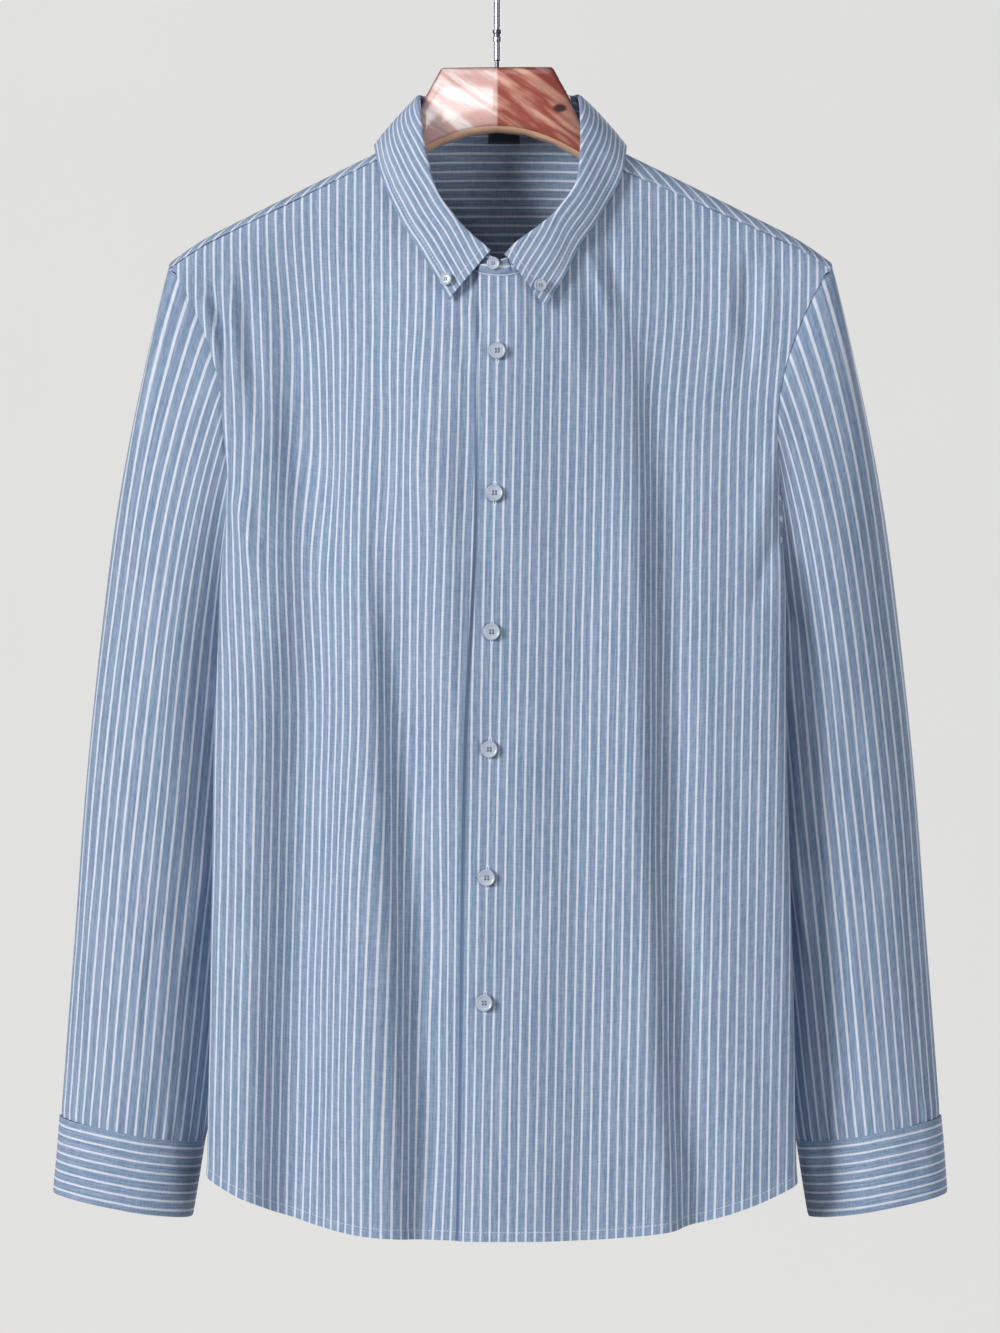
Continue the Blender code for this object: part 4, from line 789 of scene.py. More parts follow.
@dataclass(frozen=True)
class StudioPaper:
    """The pale paper of the floor and the backdrop, which glows behind the shirt."""

    name: str = "studio_paper"
    paper: tuple = (colour(128, 128, 127), colour(132, 132, 131))
    glow: tuple = (colour(205, 205, 204), colour(206, 206, 205))
    black: tuple = colour(0, 0, 0)
    glow_from: tuple[float, float] = (4.5, 6.0)

    def material(self) -> bpy.types.Material:
        """Builds it."""
        graph = Graph(self.name)
        place = graph.object_place()
        fibre = graph.noise(place, (3, 3, 3))
        _, back, _ = graph.parts(place)
        glow = graph.mix(graph.step(back, *self.glow_from), self.black, graph.mix(fibre, *self.glow))
        graph.finish(Base_Color=graph.mix(fibre, *self.paper), Roughness=0.9, Specular_IOR_Level=0.1)
        return graph.finish(Emission_Color=glow, Emission_Strength=1.0)


# --- Cloth surfaces ---


class Border(Enum):
    """An edge of a sheet's grid: its axis, and whether it is the far end."""

    FIRST_ROW = (0, False)
    LAST_ROW = (0, True)
    FIRST_COLUMN = (1, False)
    LAST_COLUMN = (1, True)


class Sheet:
    """A grid of points on a cloth's middle, with its outward directions, its measure and its stitching."""

    def __init__(self, points: np.ndarray | list, outwards: int = 1, closed: bool = False) -> None:
        """Args: points: rows by columns. outwards: 1 or -1, the way out. closed: whether rows are rings."""
        self.points = np.asarray(points, float)
        self.outwards = outwards
        self.closed = closed
        self.normals = self.lean()
        extra = 1 if closed else 0
        rows, columns = self.points.shape[:2]
        self.cloth = np.zeros((rows, columns + extra, 2))
        self.edge = np.full((rows, columns + extra, 2), 1.0)
        self.slits: np.ndarray | None = None

    def lean(self) -> np.ndarray:
        """The outward direction at each point."""
        down = np.gradient(self.points, axis=0)
        if self.closed:
            across = np.roll(self.points, -1, axis=1) - np.roll(self.points, 1, axis=1)
        else:
            across = np.gradient(self.points, axis=1)
        return unit(np.cross(across, down)) * self.outwards

    def measure(self, axis: int) -> None:
        """Takes the walk along one axis as the measure across the stripes, and the other's as along them."""
        self.cloth[..., 0] = along(self.points, axis)
        self.cloth[..., 1] = along(self.points, 1 - axis)

    def between(self, row: float, column: int | np.ndarray, height: float) -> np.ndarray:
        """Points of some columns at a place between two rows, raised off the cloth by a height."""
        low = min(int(row), len(self.points) - 2)
        near, far = 1 - row + low, row - low
        grids = (self.points, self.normals)
        spot, lean = (grid[low, column] * near + grid[low + 1, column] * far for grid in grids)
        return spot + lean * height

    def move_out(self, height: np.ndarray) -> None:
        """Moves each point outwards by its height."""
        self.points = self.points + self.normals * height[..., None]

    def reach(self, border: Border, points: np.ndarray | None = None) -> np.ndarray:
        """How far each point lies from a border, along the cloth."""
        axis, far = border.value
        walked = along(self.points if points is None else points, axis)
        return walked.max(axis=axis, keepdims=True) - walked if far else walked

    def lift(self, border: Border, height: float, width: float) -> None:
        """Raises the cloth along a border, or with a height below 0 presses it."""
        self.move_out(height * np.exp(-((self.reach(border) / width) ** 2)))

    def ring(self) -> np.ndarray:
        """The points, with the first column again at the end where rows are rings."""
        return np.concatenate([self.points, self.points[:, :1]], axis=1) if self.closed else self.points

    def stitch(self, *borders: Border) -> None:
        """Measures each place from the nearest of the borders that are topstitched.

        Args:
            borders: the stitched borders.
        """
        ring = self.ring()
        for border in borders:
            reach = self.reach(border, ring)
            nearer = reach < self.edge[..., 0]
            self.edge[..., 0] = np.where(nearer, reach, self.edge[..., 0])
            self.edge[..., 1] = np.where(nearer, along(ring, 1 - border.value[0]), self.edge[..., 1])

    def corners(self) -> np.ndarray:
        """The shell's faces: layer, row and column of each of their four corners."""
        rows, columns = self.points.shape[:2]
        spans = columns if self.closed else columns - 1
        r, c = (v.ravel() for v in np.meshgrid(np.arange(rows - 1), np.arange(spans), indexing="ij"))
        outer = np.stack([[0 * r, r, c], [0 * r, r, c + 1], [0 * r, r + 1, c + 1], [0 * r, r + 1, c]])
        outer = outer.transpose(2, 0, 1)
        inner = outer[:, ::-1].copy()
        inner[..., 0] = 1
        faces = [outer, inner]
        c = np.arange(spans)
        for row, ways in ((0, (c + 1, c)), (rows - 1, (c, c + 1))):
            line = 0 * c + row
            faces.append(self.rim((line, line), ways))
        if not self.closed:
            r = np.arange(rows - 1)
            for column, ways in ((0, (r, r + 1)), (columns - 1, (r + 1, r))):
                line = 0 * r + column
                faces.append(self.rim(ways, (line, line)))
        return np.concatenate(faces)

    @staticmethod
    def rim(rows: tuple, columns: tuple) -> np.ndarray:
        """Faces that join the two layers along a border, from the rows and columns of their ends."""
        (r0, r1), (c0, c1), near, far = rows, columns, 0 * rows[0], 0 * rows[0] + 1
        ring = [[near, r0, c0], [near, r1, c1], [far, r1, c1], [far, r0, c0]]
        return np.stack(ring).transpose(2, 0, 1)

    def shell(self, name: str, finish: bpy.types.Material, thickness: float = CLOTH) -> bpy.types.Object:
        """Makes the sheet a closed shell with its UV maps.

        Args:
            name: the piece's name.
            finish: its material.
            thickness: from its outer layer to its inner one.

        Returns:
            The piece, in place.
        """
        self.normals = self.lean()
        rows, columns = self.points.shape[:2]
        layers = [self.points + self.normals * way * thickness / 2 for way in (1, -1)]
        places = np.concatenate([layer.reshape(-1, 3) for layer in layers])
        places[:, 0] += CLOTH_SHIFT
        corners = self.corners()
        index = (corners[..., 0] * rows + corners[..., 1]) * columns + corners[..., 2] % columns
        a, b, c, d = (places[index[:, i]] for i in range(4))
        inside_out = np.sum(a * (np.cross(b, c) + np.cross(c, d))) < 0
        if inside_out:
            corners, index = corners[:, ::-1], index[:, ::-1]
        mesh = bpy.data.meshes.new(name)
        mesh.from_pydata(places.tolist(), [], index.tolist())
        for key, grid in (("cloth", self.cloth), ("edge", self.edge), ("slit", self.slits)):
            if grid is None:
                continue
            layer = mesh.uv_layers.new(name=key)
            layer.data.foreach_set("uv", grid[corners[..., 1], corners[..., 2]].astype(np.float32).ravel())
        mesh.materials.append(finish)
        mesh.shade_smooth()
        mesh.set_sharp_from_angle(angle=math.radians(SHARP))
        made = bpy.data.objects.new(name, mesh)
        bpy.context.scene.collection.objects.link(made)
        return made


@dataclass(frozen=True)
class Shoulder:
    """The ridge that the hanger's arms carry, and how the cloth falls from it."""

    ridge_x: float = 0.0855
    level: float = -0.154
    fall: float = 0.5
    soft: float = 0.01
    tip_x: float = 0.2345
    round_x: float = 0.2
    round_by: float = 4.5
    arm_depth: float = 0.018
    neck_depth: float = 0.04
    neck_spread: float = 0.075
    crest: float = 0.78
    crown: float = 0.008
    swell: float = 0.34

    def z(self, x: Numbers) -> np.ndarray:
        """The ridge's level at x."""
        out = np.sqrt(np.square(x) + self.soft**2)
        beyond = np.maximum(out - self.round_x, 0)
        return self.level - self.fall * (out - self.ridge_x) - self.round_by * beyond**2

    def depth(self, x: Numbers, y: Numbers, z: Numbers) -> np.ndarray:
        """The outline's y, drawn in under the ridge, where the cloth lies over the hanger's arms."""
        below = np.maximum(self.z(x) - z, 0)
        near = self.arm_depth + (self.neck_depth - self.arm_depth) * np.exp(-((x / self.neck_spread) ** 2))
        crest = near * np.tanh(np.sqrt(2 * self.crest * near * below) / near)
        full = ramp(below / self.swell)
        face = y / np.sqrt(y * y + self.crown**2)
        return y * full + face * (crest - near * full)


@dataclass(frozen=True)
class Closure:
    """The front opening: its line of buttons, and the lap of the left front over the right."""

    line_x: float = -0.002
    lean: float = -0.0195
    top: float = -0.285
    overlap: float = 0.016
    sink_in: float = 0.001
    sink_run: float = 0.016
    lift: float = 0.0021

    def line(self, z: Numbers) -> np.ndarray:
        """The line of buttons' x at z."""
        return self.line_x + self.lean * np.maximum(self.top - np.asarray(z), 0)

    def sink(self, side: Side, out: Numbers, z: Numbers) -> np.ndarray:
        """How far the under front and the stand's under end lie behind the upper ones."""
        if side is Side.LEFT:
            return np.zeros(np.broadcast(out, z).shape)
        covered = self.overlap - self.line(z)
        return self.lift * (1 - ramp((out - covered - self.sink_in) / self.sink_run))


def fold_offset(face: str, x: Numbers, z: Numbers) -> np.ndarray:
    """How far the long folds and waves of one face move the cloth outwards.

    Args:
        face: "front" or "back".
        x: places across.
        z: levels.

    Returns:
        The move at each place.
    """
    total = np.zeros(np.broadcast(x, z).shape)
    for names, rows in ((FOLD_COLUMNS, FOLD_ROWS), (WAVE_COLUMNS, WAVE_ROWS)):
        for row in rows:
            fold = dict(zip(names, row))
            if fold["face"] != face:
                continue
            across = x - smooth(z, *zip(*PATHS[fold["path"]]))
            if "drop" in fold:
                grown = ramp((fold["z_top"] - z) / fold["growth"])
                step = np.tanh(across / fold["steep"]) * np.exp(-((across / fold["reach"]) ** 2))
                total = total + fold["proud"] * step * grown * fold["drop"] / 2
            else:
                grown = ramp((fold["z_top"] - z) / WAVE_GROWTH)
                total = total + fold["height"] * grown * np.exp(-((across / fold["width"]) ** 2))
    return total


@dataclass
class BodyForm:
    """The body's closed outline at many levels, and the cloth measured along it from a face's centre.

    An outline has five flat faces with rounded corners: two fronts that meet in a low crown, a side that
    leans in towards the back and leaves room for the sleeve, and two backs.
    """

    shoulder: Shoulder = field(default_factory=Shoulder)
    front_slant: float = 9.0
    back_slant: float = 14.0
    sharpness: float = 16.0
    levels: int = 460
    turn: int = 1441
    grid: int = 1100
    widest_x: float = 0.27
    centre_run: float = 0.1
    edge_depth: float = 0.018
    edge_run: float = 0.03

    def __post_init__(self) -> None:
        """Works out the outlines."""
        rows = table(BODY_ROWS, BODY_COLUMNS)
        self.z = np.linspace(rows["z"].min(), rows["z"].max(), self.levels)
        at = {name: smooth(self.z, rows["z"], rows[name]) for name in BODY_COLUMNS[1:]}
        angle = np.radians(np.linspace(-90, 90, self.turn))
        reach = self.outline(angle, at)
        half_x, half_y = reach * np.cos(angle), reach * np.sin(angle)
        half_x *= (at["width"] / half_x.max(axis=1))[:, None]
        half_x[:, 0] = half_x[:, -1] = 0.0
        self.by_share, self.by_x, self.total = {}, {}, {}
        self.widest = np.linspace(0, self.widest_x, self.grid)
        middle = self.turn // 2
        for side in Side:
            x = side.value * half_x + at["centre_x"][:, None] * ramp(half_x / self.centre_run)
            levels = self.z[:, None]
            out = np.where(angle < 0, fold_offset("front", x, levels), fold_offset("back", x, levels))
            y = half_y + np.sign(half_y) * out * ramp((np.abs(half_y) - self.edge_depth) / self.edge_run)
            for face, part in (("front", slice(0, middle + 1)), ("back", slice(None, middle - 1, -1))):
                self.keep((face, side.value), x[:, part], y[:, part])

    def outline(self, angle: np.ndarray, at: dict[str, np.ndarray]) -> np.ndarray:
        """The outline's distance from the middle.

        Args:
            angle: the directions.
            at: the body's sizes at each level.

        Returns:
            The distance at each level and direction.
        """
        front, side, back = (np.radians(a) for a in (self.front_slant, at["side_slant"], self.back_slant))
        faces = (
            (np.sin(front), -np.cos(front), at["front"] * np.cos(front)),
            (-np.sin(front), -np.cos(front), at["front"] * np.cos(front)),
            (np.cos(side), np.sin(side), at["width"] * np.cos(side) + at["edge_y"] * np.sin(side)),
            (np.sin(back), np.cos(back), at["back"] * np.cos(back)),
            (-np.sin(back), np.cos(back), at["back"] * np.cos(back)),
        )
        total = 0.0
        for across, forth, distance in faces:
            across, forth = np.atleast_1d(across)[:, None], np.atleast_1d(forth)[:, None]
            towards = np.maximum(across * np.cos(angle) + forth * np.sin(angle), 0)
            total = total + (towards / distance[:, None]) ** self.sharpness
        return total ** (-1 / self.sharpness)

    def keep(self, key: tuple[str, int], xs: np.ndarray, ys: np.ndarray) -> None:
        """Stores a quarter of each outline, evenly by its share of the cloth and evenly by x.

        Args:
            key: the face and side.
            xs: the outlines' x.
            ys: and their y.
        """
        steps = np.hypot(np.diff(xs, axis=1), np.diff(ys, axis=1))
        arc = np.concatenate([np.zeros((len(xs), 1)), np.cumsum(steps, axis=1)], axis=1)
        even = np.linspace(0, 1, self.grid)
        side = key[1]
        self.total[key] = arc[:, -1]
        self.by_share[key] = [
            np.array([np.interp(even, a / a[-1], v) for a, v in zip(arc, values)]) for values in (xs, ys)
        ]
        ends = [int(np.argmax(side * x)) + 1 for x in xs]
        self.by_x[key] = [
            np.array([np.interp(self.widest, side * x[:n], v[:n]) for x, v, n in zip(xs, values, ends)])
            for values in (ys, arc)
        ]

    def read(self, stored: np.ndarray, z: np.ndarray, share: np.ndarray) -> np.ndarray:
        """A stored table's value at a level and a share of its width, between its four nearest entries."""
        row = (np.clip(z, self.z[0], self.z[-1]) - self.z[0]) / (self.z[1] - self.z[0])
        col = np.clip(share, 0, 1) * (self.grid - 1)
        r0 = np.clip(row.astype(int), 0, self.levels - 2)
        c0 = np.clip(col.astype(int), 0, self.grid - 2)
        fr, fc = row - r0, col - c0
        low = stored[r0, c0] * (1 - fc) + stored[r0, c0 + 1] * fc
        high = stored[r0 + 1, c0] * (1 - fc) + stored[r0 + 1, c0 + 1] * fc
        return low * (1 - fr) + high * fr

    def seam_arc(self, face: str, side: int, z: Numbers) -> np.ndarray:
        """The cloth from a face's centre to the side seam."""
        return np.interp(z, self.z, self.total[(face, side)])

    def at_arc(self, face: str, side: int, arc: Numbers, z: Numbers) -> np.ndarray:
        """Points at a cloth distance from the centre of one face, towards a side where it is positive."""
        arc, z = np.broadcast_arrays(np.asarray(arc, float), np.asarray(z, float))
        sides = np.where(arc < 0, -side, side)
        points = np.zeros(arc.shape + (3,))
        for this in (-1, 1):
            here = sides == this
            levels = z[here]
            share = np.abs(arc[here]) / self.seam_arc(face, this, levels)
            x, y = (self.read(stored, levels, share) for stored in self.by_share[(face, this)])
            points[here] = np.stack([x, self.shoulder.depth(x, y, levels), levels], -1)
        return points

    def at_x(self, face: str, x: Numbers, z: Numbers) -> np.ndarray:
        """Points at x on one face, up to its widest place."""
        x, z = np.broadcast_arrays(np.asarray(x, float), np.asarray(z, float))
        points = np.zeros(x.shape + (3,))
        for this in (-1, 1):
            here = (x >= 0) == (this > 0)
            y = self.read(self.by_x[(face, this)][0], z[here], np.abs(x[here]) / self.widest[-1])
            points[here] = np.stack([x[here], self.shoulder.depth(x[here], y, z[here]), z[here]], -1)
        return points

    def arc_at_x(self, face: str, side: int, x: Numbers, z: Numbers) -> np.ndarray:
        """The cloth from a face's centre out to x."""
        x, z = np.broadcast_arrays(np.asarray(x, float), np.asarray(z, float))
        return self.read(self.by_x[(face, side)][1], z, np.abs(x) / self.widest[-1])

    def over_ridge(self, x: Numbers, roll: Numbers) -> np.ndarray:
        """Points by x and roll, which is the root of the depth below the ridge, negative in front."""
        x, roll = np.broadcast_arrays(np.asarray(x, float), np.asarray(roll, float))
        z = self.shoulder.z(x) - roll * roll
        return np.where((roll < 0)[..., None], self.at_x("front", x, z), self.at_x("back", x, z))

    def lean_over_ridge(self, x: Numbers, roll: Numbers) -> np.ndarray:
        """The outward direction at the same places."""
        step = 0.002
        along_x = self.over_ridge(x + step, roll) - self.over_ridge(x - step, roll)
        along_roll = self.over_ridge(x, roll + step) - self.over_ridge(x, roll - step)
        return unit(np.cross(along_x, along_roll))


@dataclass
class Pattern:
    """The seam lines that the pieces are cut by."""

    form: BodyForm
    closure: Closure = field(default_factory=Closure)
    neck_x: float = 0.07
    neck_level: float = -0.147
    neck_dip: float = 0.099
    hem_level: float = -0.921
    hem_rise: float = 3.6
    underarm: float = -0.475
    cross: dict = field(default_factory=lambda: {"front": (0.195, -0.345), "back": (0.168, -0.36)})
    armhole_curve: float = 1.7
    yoke_front: dict = field(default_factory=lambda: {-1: 0.0058, 1: 0.015})
    yoke_tip: dict = field(default_factory=lambda: {-1: 0.9, 1: 0.4})
    yoke_back: float = -0.24
    yoke_back_corner: float = -0.284
    corner_drop: float = 0.0006
    tail_level: float = 0.05

    def neck_drop(self, degrees: Numbers) -> np.ndarray:
        """The neck seam's level, by degrees from the back's centre."""
        return self.neck_level + self.neck_dip * np.minimum(np.cos(np.radians(degrees)), 0)

    def neck_points(self, side: Side, degrees: np.ndarray) -> np.ndarray:
        """The neck seam's points, going from the back's centre to one side."""
        out = self.neck_x * np.sin(np.radians(degrees))
        z = self.neck_drop(degrees)
        front, back = (self.form.at_x(face, side.value * out, z) for face in ("front", "back"))
        points = np.where((degrees > 90)[:, None], front, back)
        points[:, 1] += np.where(degrees > 90, self.closure.sink(side, out, z), 0)
        return points

    def yoke_corner(self, side: Side) -> float:
        """Where the front yoke seam meets the neck seam, in degrees."""
        drop = self.yoke_front[side.value] + self.corner_drop
        return 180 - math.degrees(math.acos(drop / self.neck_dip))

    def yoke_end(self, side: Side) -> float:
        """The roll of the front yoke seam's outer end."""
        return -math.sqrt(self.yoke_front[side.value] * self.yoke_tip[side.value])

    def lap_end(self) -> float:
        """Where a front's overlap ends on the neck seam, in degrees."""
        return 180 + math.degrees(math.asin(self.closure.overlap / self.neck_x))

    def front_seam(self, side: Side, steps: np.ndarray) -> tuple[np.ndarray, np.ndarray]:
        """The seam between a front and the yoke, by x and roll, at shares of its way out from the neck."""
        shoulder = self.form.shoulder
        corner = self.yoke_corner(side)
        x = self.neck_x * math.sin(math.radians(corner))
        start = -math.sqrt(shoulder.z(x) - self.neck_drop(corner))
        return x + steps * (shoulder.tip_x - x), start + steps * (self.yoke_end(side) - start)

    def armhole_x(self, face: str, z: Numbers) -> Numbers:
        """How far out a face's armhole line lies at a level."""
        cross_x, cross_z = self.cross[face]
        tip_x = self.form.shoulder.tip_x
        part = (z - cross_z) / (self.form.shoulder.z(tip_x) - cross_z)
        return cross_x + (tip_x - cross_x) * part**self.armhole_curve

    def back_seam(self, share: np.ndarray) -> tuple[np.ndarray, np.ndarray]:
        """The seam between the back and the yoke, by x and level, at shares of its way out."""
        x = share * self.armhole_x("back", self.yoke_back_corner)
        return x, self.yoke_back + (self.yoke_back_corner - self.yoke_back) * share**2

    def side_hem(self, side: Side) -> float:
        """The hem's level at the side seam."""
        reach = float(self.form.seam_arc("front", side.value, self.hem_level + self.tail_level))
        return self.hem_level + self.hem_rise * reach**3

    def hem(self, side: Side, share: np.ndarray) -> np.ndarray:
        """The shirt-tail hem's level: low at the centres and high at the side seams."""
        return self.hem_level + (self.side_hem(side) - self.hem_level) * np.abs(share) ** 3

    def panel_edge(self, face: str, side: Side, counts: tuple[int, int], top: float) -> tuple:
        """A panel's outer edge up the side seam and the armhole.

        Args:
            face: "front" or "back".
            side: the wearer's side.
            counts: the steps up the side seam and up the armhole.
            top: the level at which the armhole ends.

        Returns:
            Cloth distances from the centre, and levels.
        """
        form, way = self.form, side.value
        cross_x, cross_z = self.cross[face]
        tip_z = float(form.shoulder.z(form.shoulder.tip_x))
        turn = np.linspace(math.pi / 2, 0, 200)
        start = float(form.arc_at_x(face, way, cross_x, cross_z))
        end = float(form.seam_arc(face, way, self.underarm))
        low_z = cross_z + (self.underarm - cross_z) * np.sin(turn)
        low_a = start + (end - start) * (1 - np.cos(turn))
        high_z = np.linspace(cross_z, tip_z, 240)[1:]
        high_a = form.arc_at_x(face, way, self.armhole_x(face, high_z), high_z)
        arcs, levels = np.append(low_a, high_a), np.append(low_z, high_z)
        under = levels < top
        arcs_up = np.append(arcs[under], np.interp(top, levels, arcs))
        levels_up = np.append(levels[under], top)
        length = np.append(0, np.cumsum(np.hypot(np.diff(arcs_up), np.diff(levels_up))))
        even = np.linspace(0, length[-1], counts[1] + 1)
        seam_z = np.linspace(self.side_hem(side), self.underarm, counts[0] + 1)[:-1]
        arm_a, arm_z = np.interp(even, length, arcs_up), np.interp(even, length, levels_up)
        return np.append(form.seam_arc(face, way, seam_z), arm_a), np.append(seam_z, arm_z)


def show(made: bpy.types.Object, node: str | None = None) -> bpy.types.Object:
    """Hands a finished piece to the frame.

    Args:
        made: the piece.
        node: the model's piece that it stands for, if any.

    Returns:
        The piece.
    """
    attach(made, BODY)
    if node:
        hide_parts(node)
    logging.info("%s: %d faces", made.name, len(made.data.polygons))
    return made


# --- Body pieces ---


@dataclass
class Fronts:
    """The two fronts. The left one laps over the right and has the buttonholes."""

    cut: Pattern
    rows: tuple[int, int] = (158, 112)
    columns: tuple[int, int, int] = (9, 42, 84)
    flat: tuple[float, float] = (0.272, 0.79)
    drift: tuple = ((-0.26, 0.0), (-0.47, 0.4), (-0.62, 0.62), (-0.95, 0.66))
    button_levels: tuple = (-0.2998, -0.3995, -0.4958, -0.5776, -0.6669, -0.7541)
    side_raised: tuple[float, float] = (0.0004, 0.005)
    press: float = 0.0007
    press_reach: float = 0.009
    crumples: tuple[float, float] = (0.05, 0.00035)
    seed: int = 11
    even: float = 0.75
    upright_from: float = 0.5
    upright_run: float = 0.3
    lap_edge: tuple | None = None  # the left front's edge, as levels and places across, once it is made

    def panel(self, side: Side) -> Sheet:
        """One front: rows from the hem up, columns from the closure out."""
        cut, form, way = self.cut, self.cut.form, side.value
        corner = cut.yoke_corner(side)
        degrees = chain((cut.lap_end(), 180, corner), self.columns[:2])
        seam_x, seam_roll = cut.front_seam(side, np.linspace(0, 1, self.columns[2] + 1))
        top_x = np.append(cut.neck_x * np.sin(np.radians(degrees)), seam_x[1:])
        top_z = np.append(cut.neck_drop(degrees), form.shoulder.z(seam_x[1:]) - seam_roll[1:] ** 2)
        top_a = np.sign(top_x) * form.arc_at_x("front", way, top_x, top_z)
        edge_a, edge_z = cut.panel_edge("front", side, self.rows, top_z[-1])
        edge_a[-1] = top_a[-1]
        share = (top_a - top_a[0]) / (top_a[-1] - top_a[0])
        even_share = np.linspace(0, 1, len(share)) * self.even + share * (1 - self.even)
        low_share = top_a[0] + way * cut.closure.line(cut.hem_level)
        low_share = (low_share + even_share * (edge_a[0] - top_a[0])) / edge_a[0]
        low = cut.hem(side, low_share + (1 - low_share[-1]) * even_share)
        at_corner = self.columns[0] + self.columns[1]
        corner_a, corner_share = top_a[at_corner], share[at_corner]
        points, arcs = [], []
        for outer, rise in zip(edge_a, (edge_z - edge_z[0]) / (edge_z[-1] - edge_z[0])):
            z = low + rise * (top_z - low)
            inner = top_a[0] + way * cut.closure.line(z[0])
            even = inner + even_share * (outer - inner)
            shoulder = corner_a + (share - corner_share) / (1 - corner_share) * (outer - corner_a)
            upright = np.where(share <= corner_share, top_a, shoulder)
            arc = even + (upright - even) * ramp((rise - self.upright_from) / self.upright_run)
            row = form.at_arc("front", way, arc, z)
            row[:, 1] += cut.closure.sink(side, arc, z)
            points.append(row)
            arcs.append(arc)
        sheet = Sheet(points, outwards=way)
        self.dress(sheet, side, np.array(arcs))
        return sheet

    def dress(self, sheet: Sheet, side: Side, arcs: np.ndarray) -> None:
        """Gives a front its cloth measure, creases and edges.

        Args:
            sheet: the front.
            side: the wearer's side.
            arcs: the cloth distance of each point from the centre.
        """
        x, z = sheet.points[..., 0], sheet.points[..., 2]
        across = side.value * arcs - self.cut.closure.line(z)
        if side is Side.LEFT:
            self.lap_edge = (z[:, 0], across[:, 0])
        lapped = across - np.interp(z, *self.lap_edge)
        if side is Side.RIGHT:
            sheet.slits = np.stack([lapped, z], -1)
            levels, shifts = zip(*self.drift)
            across = across + PITCH * smooth(z, levels, shifts)
        else:
            levels = np.array(self.button_levels)
            nearest = levels[np.argmin(np.abs(z[..., None] - levels), axis=-1)]
            sheet.slits = np.stack([lapped, z - nearest], -1)
        small = creases(FRONT_CREASES, x, z) + crumple(x, z, *self.crumples, self.seed + side.value)
        if side is Side.LEFT:
            small = small - self.press * np.exp(-(np.hypot(across, z - nearest) / self.press_reach) ** 2)
        sheet.cloth[..., 0] = across + small * TAKE_UP
        sheet.cloth[..., 1] = along(sheet.points, 0)
        sheet.stitch(Border.FIRST_ROW)
        sheet.move_out(small)
        sheet.lift(Border.LAST_ROW, *PRESSED)
        sheet.lift(Border.LAST_COLUMN, *self.side_raised)
        sheet.lift(Border.FIRST_ROW, *ROLLED)

    def build(self, finishes: dict[Side, bpy.types.Material]) -> dict[Side, Sheet]:
        """Makes both fronts.

        Args:
            finishes: the cloth for each.

        Returns:
            Their sheets, by side.
        """
        sheets = {}
        for side in (Side.LEFT, Side.RIGHT):
            sheet = self.panel(side)
            name = f"front_{side.word}"
            made = show(sheet.shell(f"{name}_cloth", finishes[side]), name)
            sheets[side] = sheet
        return sheets


@dataclass
class Back:
    """The back, in one piece below the yoke."""

    cut: Pattern
    rows: tuple[int, int] = (130, 50)
    columns: int = 84
    flat: tuple[float, float] = (0.5, 0.69)
    crumples: tuple[float, float] = (0.06, 0.0004)
    seed: int = 5

    def panel(self) -> Sheet:
        """The back: rows from the hem up, columns from one side seam to the other."""
        form = self.cut.form
        share = np.linspace(0, 1, self.columns + 1)
        seam_x, seam_z = self.cut.back_seam(share)
        halves, measures = [], []
        for side in Side:
            top_a = form.arc_at_x("back", side.value, seam_x, seam_z)
            edge_a, edge_z = self.cut.panel_edge("back", side, self.rows, seam_z[-1])
            edge_a[-1] = top_a[-1]
            across = top_a / top_a[-1]
            low = self.cut.hem(side, across)
            rise = ((edge_z - edge_z[0]) / (edge_z[-1] - edge_z[0]))[:, None]
            arcs = across * edge_a[:, None]
            halves.append(form.at_arc("back", side.value, arcs, low + rise * (seam_z - low)))
            measures.append(side.value * arcs)
        middle = (halves[0][:, :1] + halves[1][:, :1]) / 2
        points = np.concatenate([halves[0][:, :0:-1], middle, halves[1][:, 1:]], axis=1)
        sheet = Sheet(points, outwards=-1)
        sheet.cloth[..., 0] = np.concatenate([measures[0][:, :0:-1], measures[1]], axis=1)
        return sheet

    def build(self, finish: bpy.types.Material) -> Sheet:
        """Makes the back in its cloth and returns its sheet."""
        sheet = self.panel()
        x, z = sheet.points[..., 0], sheet.points[..., 2]
        small = creases(BACK_CREASES, x, z) + crumple(x, z, *self.crumples, self.seed)
        sheet.cloth[..., 0] += small * TAKE_UP
        sheet.cloth[..., 1] = along(sheet.points, 0)
        sheet.stitch(Border.FIRST_ROW)
        sheet.move_out(small)
        sheet.lift(Border.LAST_ROW, *PRESSED)
        sheet.lift(Border.FIRST_ROW, *ROLLED)
        made = show(sheet.shell("back_cloth", finish), "back")
        return sheet


